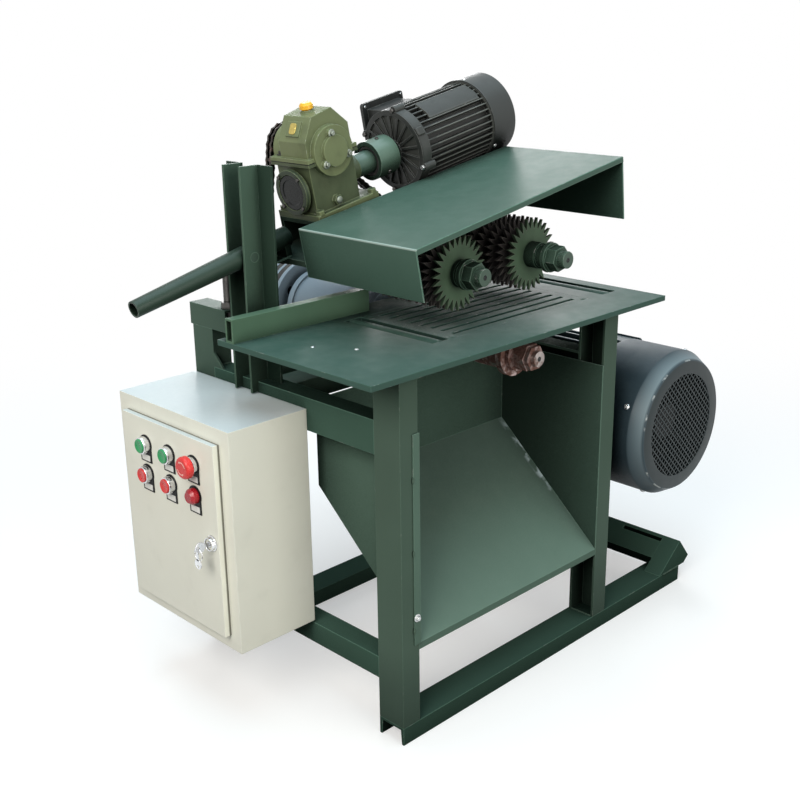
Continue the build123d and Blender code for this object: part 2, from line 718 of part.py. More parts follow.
def hopper():
    """Sheet-metal chip chute between the legs: two sides, a back and a sloping floor with a lip."""
    near_x = CHANNEL_FLANGE
    far_x = FRAME_LENGTH - CHANNEL_FLANGE
    t = HOPPER_SHEET
    rise = tan(radians(HOPPER_SLOPE))
    back_z = HOPPER_LIP_Z + HOPPER_DEPTH * rise
    thick = t / cos(radians(HOPPER_SLOPE))
    lip_low = HOPPER_LIP_Z - HOPPER_LIP
    outside = Polyline(
        (0, lip_low),
        (t, lip_low),
        (t, HOPPER_LIP_Z + t * rise - thick),
        (HOPPER_DEPTH, back_z - thick),
        (HOPPER_DEPTH, HOPPER_TOP),
        (0, HOPPER_TOP),
        close=True,
    )
    inner_back = HOPPER_DEPTH - t
    open_top = HOPPER_TOP + OVERCUT
    inside = Polyline(
        (-OVERCUT, HOPPER_LIP_Z - OVERCUT * rise),
        (inner_back, HOPPER_LIP_Z + inner_back * rise),
        (inner_back, open_top),
        (-OVERCUT, open_top),
        close=True,
    )
    chute = Pos(near_x, 0, 0) * extrude(Plane.YZ * make_face(outside), far_x - near_x)
    chute -= Pos(near_x + t, 0, 0) * extrude(Plane.YZ * make_face(inside), far_x - near_x - 2 * t)
    flange_x = near_x + t - HOPPER_FLANGE
    chute += block(flange_x, near_x + t, -t, 0, HOPPER_LIP_Z, HOPPER_TOP)
    return {"hopper": chute}


def belt_offsets():
    """Middle of each belt along the pulley width."""
    first = PULLEY_START + PULLEY_WIDTH / 2 - BELT_PITCH * (BELT_COUNT - 1) / 2
    return [first + BELT_PITCH * i for i in range(BELT_COUNT)]


def pulley(x, z, radius, bore):
    """Grooved V-belt pulley with a dished face and lightening holes."""
    through = (PULLEY_START - OVERCUT, PULLEY_END + OVERCUT)
    wheel = rod_y(x, z, PULLEY_START, PULLEY_END, radius)
    half = BELT_WIDTH / 2 + SIDE_CLEARANCE
    for y in belt_offsets():
        groove = rod_y(x, z, y - half, y + half, radius + OVERCUT)
        wheel -= groove - rod_y(x, z, y - half, y + half, radius - GROOVE_DEPTH)
    rim = radius - GROOVE_DEPTH - PULLEY_RIM
    hub = bore + PULLEY_HUB_WALL
    dish = (PULLEY_END - PULLEY_DISH, PULLEY_END + OVERCUT)
    wheel -= rod_y(x, z, *dish, rim) - rod_y(x, z, *dish, hub)
    middle = (rim + hub) / 2
    hole = (rim - hub) / 3
    for i in range(PULLEY_HOLES):
        angle = 2 * pi * i / PULLEY_HOLES
        wheel -= rod_y(x + middle * cos(angle), z + middle * sin(angle), *through, hole)
    return wheel - rod_y(x, z, *through, bore + RUNNING_CLEARANCE)


def spindle():
    """Saw arbor in its bearing housing, with collars, nuts and the driven pulley."""
    x, z = ARBOR_X, ARBOR_Z
    bore = ARBOR_RADIUS + RUNNING_CLEARANCE
    half_foot = HOUSING_FOOT / 2
    housing = rod_y(x, z, HOUSING_START, HOUSING_END, HOUSING_RADIUS)
    housing += rod_y(x, z, HOUSING_START, HOUSING_START + CAP_WIDTH, CAP_RADIUS)
    housing += rod_y(x, z, HOUSING_END - CAP_WIDTH, HOUSING_END, CAP_RADIUS)
    for y in (SPINDLE_BEAM_Y, FAR_LEG_Y):
        housing += block(
            x - half_foot, x + half_foot, y + CHANNEL_WALL, y + CHANNEL_WEB - CHANNEL_WALL,
            SPINDLE_BEAM_TOP, z - HOUSING_RADIUS / 2,
        )
    housing -= rod_y(x, z, HOUSING_START - OVERCUT, HOUSING_END + OVERCUT, bore)

    step = ARBOR_START + ARBOR_END_LENGTH
    shaft = rod_y(x, z, step, PULLEY_END + ARBOR_PROUD, ARBOR_RADIUS)
    shaft += rod_y(x, z, ARBOR_START, step, ARBOR_END_RADIUS)

    flange_start = COLLAR_START - FLANGE_WIDTH
    collars = rod_y(x, z, flange_start, COLLAR_START, FLANGE_RADIUS)
    for i in range(COLLAR_COUNT):
        start = COLLAR_START + COLLAR_WIDTH * i
        end = start + COLLAR_WIDTH
        collars += rod_y(x, z, start, end - COLLAR_GROOVE, COLLAR_RADIUS)
        collars += rod_y(x, z, end - COLLAR_GROOVE, end, COLLAR_RADIUS - COLLAR_GROOVE)
    collars += rod_y(x, z, HOUSING_START - SPACER_WIDTH, HOUSING_START - SIDE_CLEARANCE, SPACER_RADIUS)
    collars -= rod_y(x, z, flange_start - OVERCUT, HOUSING_START, bore)

    washer_start = flange_start - WASHER_WIDTH
    end_nut_start = step - WASHER_WIDTH
    end_bore = ARBOR_END_RADIUS + RUNNING_CLEARANCE
    nuts = hex_y(x, z, step, washer_start, ARBOR_NUT_FLATS)
    nuts += rod_y(x, z, washer_start, flange_start, WASHER_RADIUS)
    nuts -= rod_y(x, z, step - OVERCUT, flange_start + OVERCUT, bore)
    end_nut = hex_y(x, z, end_nut_start, step, END_NUT_FLATS)
    nuts += end_nut - rod_y(x, z, end_nut_start - OVERCUT, step + OVERCUT, end_bore)
    return {
        "spindle_housing": housing,
        "arbor_shaft": shaft,
        "arbor_collars": collars,
        "arbor_nuts": nuts,
        "arbor_pulley": pulley(x, z, ARBOR_PULLEY_RADIUS, ARBOR_RADIUS),
    }


def loop_around(first, second, shrink):
    """Face bounded by the outer tangents of two circles given as ((x, z), radius)."""
    (x1, z1), r1 = first
    (x2, z2), r2 = second
    r1, r2 = r1 - shrink, r2 - shrink
    distance = hypot(x2 - x1, z2 - z1)
    heading = atan2(z2 - z1, x2 - x1)
    lean = acos((r1 - r2) / distance)
    points = []
    for (x, z), r, side in (((x1, z1), r1, 1), ((x2, z2), r2, 1), ((x2, z2), r2, -1), ((x1, z1), r1, -1)):
        angle = heading + side * lean
        points.append((x + r * cos(angle), z + r * sin(angle)))
    far = (x2 + r2 * cos(heading), z2 + r2 * sin(heading))
    near = (x1 - r1 * cos(heading), z1 - r1 * sin(heading))
    wire = [
        Line(points[0], points[1]),
        ThreePointArc(points[1], far, points[2]),
        Line(points[2], points[3]),
        ThreePointArc(points[3], near, points[0]),
    ]
    return make_face(wire)


def belts():
    """Three V-belts that ride in the grooves of both pulleys."""
    arbor = ((ARBOR_X, ARBOR_Z), ARBOR_PULLEY_RADIUS)
    motor = ((MOTOR_X, MOTOR_Z), MOTOR_PULLEY_RADIUS)
    inner = GROOVE_DEPTH - SIDE_CLEARANCE
    band = loop_around(arbor, motor, inner - BELT_DEPTH) - loop_around(arbor, motor, inner)
    loops = []
    for y in belt_offsets():
        solid = extrude(band, BELT_WIDTH)
        loops.append(Pos(0, y + BELT_WIDTH / 2, 0) * Rot(90, 0, 0) * solid)
    return {"drive_belts": Compound(children=loops)}


def finned_barrel(radius, length, fin_height, fin_width, count):
    """A motor barrel along Z with cooling fins all round."""
    fin = Pos(radius, 0, length / 2) * Box(2 * fin_height, fin_width, length)
    fins = [Rot(0, 0, 360 / count * (i + 0.5)) * fin for i in range(count)]
    return Pos(0, 0, length / 2) * Cylinder(radius, length) + fins


def main_motor():
    """Foot-mounted motor whose fan cover faces the operator's side."""
    x, z = MOTOR_X, MOTOR_Z
    cover_end = MOTOR_FRONT + COVER_LENGTH
    barrel_start = cover_end - COVER_SEAT
    barrel_end = barrel_start + STATOR_LENGTH
    shield_end = barrel_end + SHIELD_WIDTH
    cap_end = shield_end + BEARING_CAP_WIDTH
    foot_z = z - MOTOR_CENTRE_HEIGHT
    foot = (barrel_start + MOTOR_FOOT_START, barrel_start + MOTOR_FOOT_START + MOTOR_FOOT_LENGTH)

    barrel = finned_barrel(STATOR_RADIUS, STATOR_LENGTH, FIN_HEIGHT, FIN_WIDTH, FIN_COUNT)
    body = Pos(x, barrel_end, z) * Rot(90, 0, 0) * barrel
    body += rod_y(x, z, barrel_end, shield_end, STATOR_RADIUS + FIN_HEIGHT / 2)
    body += rod_y(x, z, shield_end, cap_end, BEARING_CAP_RADIUS)
    body += rod_y(x, z, barrel_start, cover_end, COVER_RADIUS - COVER_WALL - RUNNING_CLEARANCE)
    body += block(x - MOTOR_FOOT_HALF, x + MOTOR_FOOT_HALF, *foot, foot_z, foot_z + MOTOR_FOOT_PAD)
    web = MOTOR_FOOT_WEB_INNER
    for inner in (-web - MOTOR_FOOT_WEB, web):
        body += block(x + inner, x + inner + MOTOR_FOOT_WEB, *foot, foot_z, z - STATOR_RADIUS / 2)
    box_x = x + STATOR_RADIUS - TERMINAL_BOX_SINK
    box_y = foot[0] + TERMINAL_BOX_START
    box_z = z - TERMINAL_BOX_DROP
    body += block(
        box_x, box_x + TERMINAL_BOX_DEPTH, box_y, box_y + TERMINAL_BOX_LENGTH,
        box_z, box_z + TERMINAL_BOX_HEIGHT,
    )
    bore = MOTOR_SHAFT_RADIUS + RUNNING_CLEARANCE
    body -= rod_y(x, z, barrel_start - OVERCUT, cap_end + OVERCUT, bore)

    fan_start = MOTOR_FRONT + FAN_GAP
    fan_end = fan_start + FAN_LENGTH
    rotor = rod_y(x, z, fan_start, PULLEY_END, MOTOR_SHAFT_RADIUS)
    rotor += rod_y(x, z, fan_start, fan_end, FAN_HUB_RADIUS)
    rotor += rod_y(x, z, fan_end - FAN_DISC, fan_end, FAN_RADIUS)
    blade = block(MOTOR_SHAFT_RADIUS, FAN_RADIUS, -FAN_BLADE / 2, FAN_BLADE / 2, 0, FAN_LENGTH - FAN_DISC / 2)
    for i in range(FAN_BLADES):
        turn = Rot(0, 0, 360 / FAN_BLADES * i)
        rotor += Pos(x, fan_end - FAN_DISC / 2, z) * Rot(90, 0, 0) * turn * blade
    return {
        "motor_body": body,
        "motor_fan_cover": motor_fan_cover(),
        "motor_rotor": rotor,
        "motor_pulley": pulley(x, z, MOTOR_PULLEY_RADIUS, MOTOR_SHAFT_RADIUS),
        "motor_base": motor_base(foot, foot_z),
    }


def motor_fan_cover():
    """Pressed cover with a conical nose and a grille of square holes."""
    face = COVER_RADIUS - COVER_FLARE
    slope = atan2(COVER_NOSE, COVER_FLARE)
    inside = COVER_RADIUS - COVER_WALL
    inner_face = face - COVER_WALL * tan(slope / 2)
    inner_nose = COVER_NOSE + COVER_WALL * tan((pi / 2 - slope) / 2)
    half_section = Polyline(
        (0, 0),
        (face, 0),
        (COVER_RADIUS, COVER_NOSE),
        (COVER_RADIUS, COVER_LENGTH),
        (inside, COVER_LENGTH),
        (inside, inner_nose),
        (inner_face, COVER_WALL),
        (0, COVER_WALL),
        close=True,
    )
    cover = revolve(make_face(half_section), Axis.Y)
    steps = int(GRILLE_RADIUS // GRILLE_PITCH)
    hole = Box(GRILLE_HOLE, 4 * COVER_WALL, GRILLE_HOLE)
    holes = []
    for i in range(-steps, steps + 1):
        for j in range(-steps, steps + 1):
            if hypot(i, j) * GRILLE_PITCH <= GRILLE_RADIUS:
                holes.append(Pos(i * GRILLE_PITCH, 0, j * GRILLE_PITCH) * hole)
    return Pos(MOTOR_X, MOTOR_FRONT, MOTOR_Z) * (cover - holes)


def motor_base(foot, foot_z):
    """Plate under the motor's feet on two gusseted arms welded to the rear rail."""
    under = foot_z - MOTOR_PLATE
    half = MOTOR_FOOT_HALF + MOTOR_PLATE_MARGIN
    base = block(
        MOTOR_X - half, MOTOR_X + half, foot[0] - MOTOR_PLATE_MARGIN, foot[1] + MOTOR_PLATE_MARGIN,
        under, foot_z,
    )
    arm_bottom = MOTOR_RAIL_TOP - CHANNEL_WEB
    reach = MOTOR_X + MOTOR_FOOT_HALF
    web = [
        (FRAME_LENGTH, arm_bottom), (FRAME_LENGTH, under), (reach, under), (reach, under - MOTOR_ARM_TIP),
    ]
    web_inset = (MOTOR_ARM - MOTOR_ARM_WEB) / 2
    for y in (foot[0], foot[1] - MOTOR_ARM):
        base += side_profile(web, y + web_inset, y + MOTOR_ARM - web_inset)
        base += block(FRAME_LENGTH, reach, y, y + MOTOR_ARM, under - MOTOR_ARM_TOP, under)
        base += block(
            FRAME_LENGTH, FRAME_LENGTH + MOTOR_ARM_WEB, y - MOTOR_ARM_PAD, y + MOTOR_ARM + MOTOR_ARM_PAD,
            arm_bottom, MOTOR_RAIL_TOP,
        )
    return base


def carriage_structure():
    """Hinged plate, lift lever, drive base and feed hood, drawn level about the pivot."""
    plate = block(PLATE_START, PLATE_END, PLATE_NEAR, PLATE_FAR, PLATE_BOTTOM, PLATE_TOP)
    idler_w = chain_idler_height()
    pin_end = CHAIN_MIDDLE + CHAIN_GAP
    plate += rod_y(CHAIN_IDLER_U, idler_w, PLATE_FAR, pin_end, CHAIN_IDLER_PIN)
    plate += hex_y(CHAIN_IDLER_U, idler_w, pin_end, pin_end + CHAIN_IDLER_PIN, CHAIN_IDLER_NUT_FLATS)
    return {
        "carriage_plate": plate,
        "lift_lever": lift_lever(),
        "drive_base": drive_base(),
        "feed_hood": feed_hood(),
    }


def lift_lever():
    """Tapered tube on the pivot pin with an open outer end and a saddle down to the plate."""
    tube = Cone(LEVER_TIP_RADIUS, LEVER_RADIUS, LEVER_OUTER, align=(Align.CENTER, Align.CENTER, Align.MAX))
    tube += Cylinder(LEVER_RADIUS, LEVER_INNER, align=(Align.CENTER, Align.CENTER, Align.MIN))
    mouth = Pos(0, 0, -LEVER_OUTER) * Cylinder(
        LEVER_BORE, LEVER_BORE_DEPTH, align=(Align.CENTER, Align.CENTER, Align.MIN)
    )
    lever = Pos(0, LEVER_Y, 0) * Rot(0, -LEVER_TILT, 0) * Rot(0, 90, 0) * (tube - mouth)
    half = SADDLE_WIDTH / 2
    lever += block(PLATE_START, LEVER_INNER - SADDLE_INSET, LEVER_Y - half, LEVER_Y + half, PLATE_TOP, 0)
    across = LEVER_RADIUS + OVERCUT
    return lever - rod_y(0, 0, LEVER_Y - across, LEVER_Y + across, PIN_RADIUS + RUNNING_CLEARANCE)


def drive_base():
    """Bridge under the reducer and two packers under the feed motor's feet."""
    high = REDUCER_HIGH + REDUCER_TAIL
    near = REDUCER_NEAR - CASE_LIP
    far = REDUCER_FAR + CASE_LIP
    stand = block(REDUCER_LOW, high, near, far, REDUCER_BASE - STAND_WALL, REDUCER_BASE)
    for y in (near, far - STAND_WALL):
        stand += block(REDUCER_LOW, high, y, y + STAND_WALL, PLATE_TOP, REDUCER_BASE)
    pieces = [stand]
    half = PACKER_LENGTH / 2
    for u in feed_foot_places():
        pieces.append(block(u - half, u + half, near, far, PLATE_TOP, FEED_FOOT))
    return Compound(children=pieces)


def feed_hood():
    """Folded sheet hood over the rollers, open below and on the operator's side."""
    t = HOOD_SHEET
    fall = HOOD_LENGTH * tan(radians(HOOD_SKEW))
    rear_top = HOOD_TOP - fall
    front_foot = HOOD_TOP - HOOD_FRONT_DROP
    rear_foot = rear_top - HOOD_REAR_DROP
    lean = HOOD_REAR_DROP * tan(radians(HOOD_REAR_LEAN))
    top = [(HOOD_START, HOOD_TOP), (HOOD_END, rear_top), (HOOD_END, rear_top - t), (HOOD_START, HOOD_TOP - t)]
    front = [
        (HOOD_START, front_foot), (HOOD_START, HOOD_TOP),
        (HOOD_START + t, HOOD_TOP), (HOOD_START + t, front_foot),
    ]
    rear = [
        (HOOD_END, rear_top), (HOOD_END - lean, rear_foot),
        (HOOD_END - lean - t, rear_foot), (HOOD_END - t, rear_top),
    ]
    lip = [
        (HOOD_START, HOOD_TOP), (HOOD_END, rear_top),
        (HOOD_END, rear_top - HOOD_LIP), (HOOD_START, HOOD_TOP - HOOD_LIP),
    ]
    back = [(HOOD_START, HOOD_TOP), (HOOD_END, rear_top), (HOOD_END, PLATE_TOP), (HOOD_START, PLATE_TOP)]
    hood = side_profile(top, HOOD_NEAR, HOOD_FAR)
    hood += side_profile(front, HOOD_NEAR, HOOD_FAR)
    hood += side_profile(rear, HOOD_NEAR, HOOD_FAR)
    hood += side_profile(lip, HOOD_NEAR, HOOD_NEAR + t)
    hood += side_profile(back, HOOD_FAR - t, HOOD_FAR)
    passage = block(
        PLATE_START, HOOD_END + OVERCUT, PLATE_NEAR - OVERCUT, HOOD_FAR + OVERCUT,
        PLATE_BOTTOM - OVERCUT, PLATE_TOP,
    )
    return hood - passage


def chain_idler_height():
    """The idler's pin is welded to the middle of the plate's far edge."""
    return (PLATE_TOP + PLATE_BOTTOM) / 2


def feed_foot_places():
    """Where the feed motor's two feet stand along the carriage."""
    start = FEED_MOTOR_U + FEED_SHIELD + FEED_FOOT_FIRST
    return (start, start + FEED_FOOT_PITCH)


def reducer():
    """Worm reducer with its breather, and the coupling that turns the worm."""
    top = REDUCER_TOP
    cap_u = (REDUCER_LOW + CASE_INSET + CROWN_SLOPE + REDUCER_HIGH - CASE_INSET - CROWN_CHAMFER) / 2
    cap_y = DRIVE_Y + (CROWN_NEAR_INSET - CROWN_FAR_INSET) / 2
    case = reducer_case()
    case += rod_z(cap_u, cap_y, top - CROWN_FALL, top, BREATHER_RADIUS)

    rim_start = top + BREATHER_NECK
    dome_start = rim_start + BREATHER_RIM
    breather = rod_z(cap_u, cap_y, top, rim_start, BREATHER_DOME_RADIUS)
    breather += rod_z(cap_u, cap_y, rim_start, dome_start, BREATHER_RADIUS)
    breather += Pos(cap_u, cap_y, dome_start) * Cone(
        BREATHER_RADIUS, BREATHER_DOME_RADIUS, BREATHER_DOME, align=(Align.CENTER, Align.CENTER, Align.MIN)
    )

    axis = (DRIVE_Y, WORM_HEIGHT)
    start, end = COUPLING_START, COUPLING_START + COUPLING_LENGTH
    hub_start = REDUCER_HIGH + WORM_NECK_LENGTH + SIDE_CLEARANCE
    shaft_ends = (REDUCER_HIGH - WORM_SHAFT_DEPTH, FEED_MOTOR_U + FEED_SHAFT_DEPTH)
    shaft = rod_x(*axis, *shaft_ends, COUPLING_SHAFT_RADIUS)
    dish = (start - OVERCUT, start + COUPLING_DISH)
    shaft += rod_x(*axis, start, end, COUPLING_RADIUS) - rod_x(*axis, *dish, COUPLING_DISH_RADIUS)
    shaft += rod_x(*axis, hub_start, end + COUPLING_HUB_LENGTH, COUPLING_HUB_RADIUS)
    return {"reducer_case": case, "reducer_breather": breather, "feed_coupling": shaft}


def reducer_case():
    """Split casting: worm housing below, wheel housing above, flanged caps and a drain plug."""
    low, high, y0, y1 = REDUCER_LOW, REDUCER_HIGH, REDUCER_NEAR, REDUCER_FAR
    front = low + CASE_INSET
    rear = high - CASE_INSET
    split = WHEEL_HEIGHT - SPLIT_DROP
    rim = split + SPLIT_FLANGE
    shoulder = rim + CROWN_SHOULDER
    top = REDUCER_TOP
    foot_top = REDUCER_BASE + REDUCER_FOOT
    tail = high + REDUCER_TAIL
    case = block(low, tail, y0 - CASE_LIP, y1 + CASE_LIP, REDUCER_BASE, foot_top)
    case += block(front, rear, y0 + CASE_LIP, y1 - CASE_LIP, REDUCER_BASE, split)
    case += block(low + SPLIT_LIP, high - SPLIT_LIP, y0 - SPLIT_LIP, y1 + SPLIT_LIP, split, rim)
    crown = [
        (front, rim), (front, shoulder), (front + CROWN_SLOPE, top - CROWN_FALL),
        (rear - CROWN_CHAMFER, top), (rear, top - CROWN_CHAMFER_DROP), (rear, rim),
    ]
    case += side_profile(crown, y0 + CROWN_NEAR_INSET, y1 - CROWN_FAR_INSET)

    wheel = (WHEEL_U, WHEEL_HEIGHT)
    cap_face = y0 - CASE_LIP - WHEEL_CAP_PROUD
    case += rod_y(*wheel, y0 - CASE_LIP, y1 + CASE_LIP, WHEEL_BOSS_RADIUS)
    case += rod_y(*wheel, cap_face, y0, WHEEL_CAP_RADIUS)
    for i in range(WHEEL_CAP_LUGS):
        angle = radians(WHEEL_CAP_FIRST_LUG) + 2 * pi * i / WHEEL_CAP_LUGS
        u = WHEEL_U + WHEEL_CAP_BOLT_CIRCLE * cos(angle)
        w = WHEEL_HEIGHT + WHEEL_CAP_BOLT_CIRCLE * sin(angle)
        case += rod_y(u, w, cap_face + OVERCUT, y0, WHEEL_CAP_LUG_RADIUS)

    worm = (DRIVE_Y, WORM_HEIGHT)
    cap_front = low - WORM_CAP_PROUD
    recess = (cap_front - OVERCUT, cap_front + WORM_CAP_RECESS_DEPTH)
    case += rod_x(*worm, low, high - SPLIT_LIP, WORM_BOSS_RADIUS)
    case += rod_x(*worm, cap_front, low + SPLIT_LIP, WORM_CAP_RADIUS)
    case -= rod_x(*worm, *recess, WORM_CAP_RECESS)
    neck_end = high + WORM_NECK_LENGTH
    case += rod_x(*worm, rear, neck_end, WORM_NECK_RADIUS)

    slope_rise = top - CROWN_FALL - shoulder
    lean = degrees(atan2(CROWN_SLOPE, slope_rise))
    pad_y = DRIVE_Y + (CROWN_NEAR_INSET - CROWN_FAR_INSET) / 2
    pad = Rot(0, lean, 0) * Box(2 * NAME_PAD_PROUD, NAME_PAD_WIDTH, NAME_PAD_HEIGHT)
    case += Pos(front + CROWN_SLOPE / 2, pad_y, shoulder + slope_rise / 2) * pad
    drain = (high - DRAIN_INSET, REDUCER_BASE + DRAIN_HEIGHT)
    case += hex_y(*drain, y0 - SPLIT_LIP, y0 + CASE_INSET, DRAIN_FLATS)
    for u in (low + CASE_BOLT_INSET, tail - CASE_BOLT_INSET):
        for y in (y0, y1):
            case += hex_z(u, y, foot_top, foot_top + CASE_BOLT_HEAD, CASE_BOLT_FLATS)
    worm_bore = COUPLING_SHAFT_RADIUS + RUNNING_CLEARANCE
    case -= rod_x(*worm, high - WORM_SHAFT_DEPTH - OVERCUT, neck_end + OVERCUT, worm_bore)
    wheel_bore = OUTPUT_SHAFT_RADIUS + RUNNING_CLEARANCE
    return case - rod_y(*wheel, y1 - OUTPUT_SHAFT_DEPTH - OVERCUT, y1 + CASE_LIP + OVERCUT, wheel_bore)


def feed_motor():
    """Small finned motor that turns the worm, with its feet on two packers."""
    u, y, w = FEED_MOTOR_U, DRIVE_Y, WORM_HEIGHT
    shield_end = u + FEED_SHIELD
    cover_end = u + FEED_MOTOR_LENGTH
    cover_start = cover_end - FEED_COVER_LENGTH
    seat_end = cover_start + FEED_COVER_SEAT
    barrel = finned_barrel(
        FEED_BODY_RADIUS, seat_end - shield_end, FEED_FIN_HEIGHT, FEED_FIN_WIDTH, FEED_FIN_COUNT
    )
    body = Pos(shield_end, y, w) * Rot(0, 90, 0) * barrel
    rim = FEED_BODY_RADIUS + FEED_FIN_HEIGHT
    shield = rod_x(y, w, u, shield_end, rim)
    shield -= rod_x(y, w, u - OVERCUT, u + FEED_SHIELD_DISH, rim - FEED_SHIELD_RIM)
    shield += rod_x(y, w, u - FEED_HUB_PROUD, shield_end, FEED_HUB_RADIUS)
    half_rib = FEED_RIB_WIDTH / 2
    rib_ends = (COUPLING_SHAFT_RADIUS, rim - FEED_SHIELD_RIM / 2)
    rib = block(*rib_ends, -half_rib, half_rib, u, u + FEED_SHIELD_DISH)
    for i in range(FEED_RIBS):
        shield += Pos(0, y, w) * Rot(0, 90, 0) * Rot(0, 0, 360 / FEED_RIBS * i) * rib
    body += shield
    body += rod_x(y, w, cover_start, seat_end, FEED_COVER_RADIUS - FEED_COVER_WALL - RUNNING_CLEARANCE)
    body += feed_motor_feet()
    box_u = shield_end + FEED_BOX_START
    box_end_u = box_u + FEED_BOX_LENGTH
    box_w = w - FEED_BOX_DROP
    box_top = box_w + FEED_BOX_HEIGHT
    lid_y = y + FEED_BOX_REACH
    flange = FEED_BOX_FLANGE
    body += block(box_u, box_end_u, y + FEED_BOX_ROOT, lid_y, box_w, box_top)
    lid = block(
        box_u - flange, box_end_u + flange, lid_y, lid_y + FEED_BOX_LID, box_w - flange, box_top + flange
    )
    body += fillet(lid.edges().filter_by(Axis.Y), FEED_BOX_CORNER)
    bore = COUPLING_SHAFT_RADIUS + RUNNING_CLEARANCE
    body -= rod_x(y, w, u - FEED_HUB_PROUD - OVERCUT, u + FEED_SHAFT_DEPTH + OVERCUT, bore)

    cover = rod_x(y, w, cover_start, cover_end, FEED_COVER_RADIUS)
    face_edge = cover.edges().filter_by(GeomType.CIRCLE).sort_by(Axis.X)[-1]
    cover = chamfer(face_edge, FEED_COVER_CHAMFER)
    face_inside = cover_end - FEED_COVER_CHAMFER - FEED_COVER_WALL
    cover -= rod_x(y, w, cover_start - OVERCUT, face_inside, FEED_COVER_RADIUS - FEED_COVER_WALL)
    half_vent = FEED_VENT_WIDTH / 2
    vent = block(
        FEED_VENT_START, FEED_COVER_RADIUS - FEED_VENT_MARGIN, -half_vent, half_vent,
        face_inside - OVERCUT, cover_end + OVERCUT,
    )
    for i in range(FEED_VENTS):
        cover -= Pos(0, y, w) * Rot(0, 90, 0) * Rot(0, 0, 360 / FEED_VENTS * i) * vent
    return {"feed_motor_body": body, "feed_fan_cover": cover}


def feed_motor_feet():
    """Two cast feet with their bolts, one over each packer."""
    half = FEED_FOOT_LENGTH / 2
    half_web = FEED_FOOT_WEB / 2
    pad_top = FEED_FOOT + FEED_FOOT_PAD
    web_top = WORM_HEIGHT - FEED_BODY_RADIUS / 2
    feet = []
    for u in feed_foot_places():
        foot_ends = (DRIVE_Y - FEED_FOOT_HALF, DRIVE_Y + FEED_FOOT_HALF)
        foot = block(u - half, u + half, *foot_ends, FEED_FOOT, pad_top)
        web_ends = (DRIVE_Y - FEED_FOOT_WEB_HALF, DRIVE_Y + FEED_FOOT_WEB_HALF)
        foot += block(u - half_web, u + half_web, *web_ends, FEED_FOOT, web_top)
        for side in (-1, 1):
            bolt_y = DRIVE_Y + side * (FEED_FOOT_HALF - FEED_FOOT_PAD)
            foot += hex_z(u, bolt_y, pad_top, pad_top + FEED_BOLT_HEAD, FEED_BOLT_FLATS)
        feet.append(foot)
    return feet


def sprocket_radius(teeth):
    return CHAIN_PITCH / (2 * sin(pi / teeth))


def toothed_disc(root, tip, teeth, width):
    """A star-pointed disc on the XY plane."""
    points = []
    for i in range(2 * teeth):
        radius = tip if i % 2 == 0 else root
        angle = pi * i / teeth
        points.append((radius * cos(angle), radius * sin(angle)))
    return extrude(make_face(Polyline(*points, close=True)), width)


def sprocket(u, w, teeth):
    """Chain sprocket in the carriage's side plane."""
    radius = sprocket_radius(teeth)
    disc = toothed_disc(radius - SPROCKET_ROOT, radius + SPROCKET_TIP, teeth, SPROCKET_WIDTH)
    return Pos(u, CHAIN_MIDDLE + SPROCKET_WIDTH / 2, w) * Rot(90, 0, 0) * disc


def feed_roller(u, drop, end, sleeve):
    """Spiked roller on a cantilevered shaft; returns the shaft and the toothed roller."""
    w = -drop
    teeth = toothed_disc(ROLLER_ROOT, ROLLER_RADIUS, ROLLER_TEETH, DISC_WIDTH)
    roller = rod_y(u, w, DISC_START, STACK_END, ROLLER_CORE)
    half_tooth = 180 / ROLLER_TEETH
    discs = []
    for i in range(ROLLER_DISCS):
        place = Pos(u, DISC_START + DISC_PITCH * i + DISC_WIDTH, w) * Rot(90, 0, 0)
        discs.append(place * Rot(0, 0, half_tooth * (i % 2)) * teeth)
    roller += discs
    bore = ROLLER_SHAFT_RADIUS + RUNNING_CLEARANCE
    roller -= rod_y(u, w, DISC_START - OVERCUT, STACK_END + OVERCUT, bore)

    nut_start = end + ROLLER_SHAFT_PROUD
    washer_start = nut_start + ROLLER_NUT
    washer_end = washer_start + ROLLER_WASHER
    sleeve_start = DISC_START - sleeve
    shoulder = ROLLER_SHAFT_RADIUS + ROLLER_SHOULDER
    shaft = rod_y(u, w, end, CHAIN_MIDDLE + ROLLER_SHAFT_PROUD, ROLLER_SHAFT_RADIUS)
    shaft += hex_y(u, w, nut_start, washer_start, ROLLER_NUT_FLATS)
    shaft += rod_y(u, w, washer_start, washer_end, ROLLER_WASHER_RADIUS)
    shaft += rod_y(u, w, washer_end, sleeve_start, ROLLER_NECK_RADIUS)
    shaft += rod_y(u, w, sleeve_start, DISC_START, ROLLER_SLEEVE_RADIUS)
    shaft += rod_y(u, w, STACK_END, BEARING_NEAR - SIDE_CLEARANCE, shoulder)
    return shaft, roller


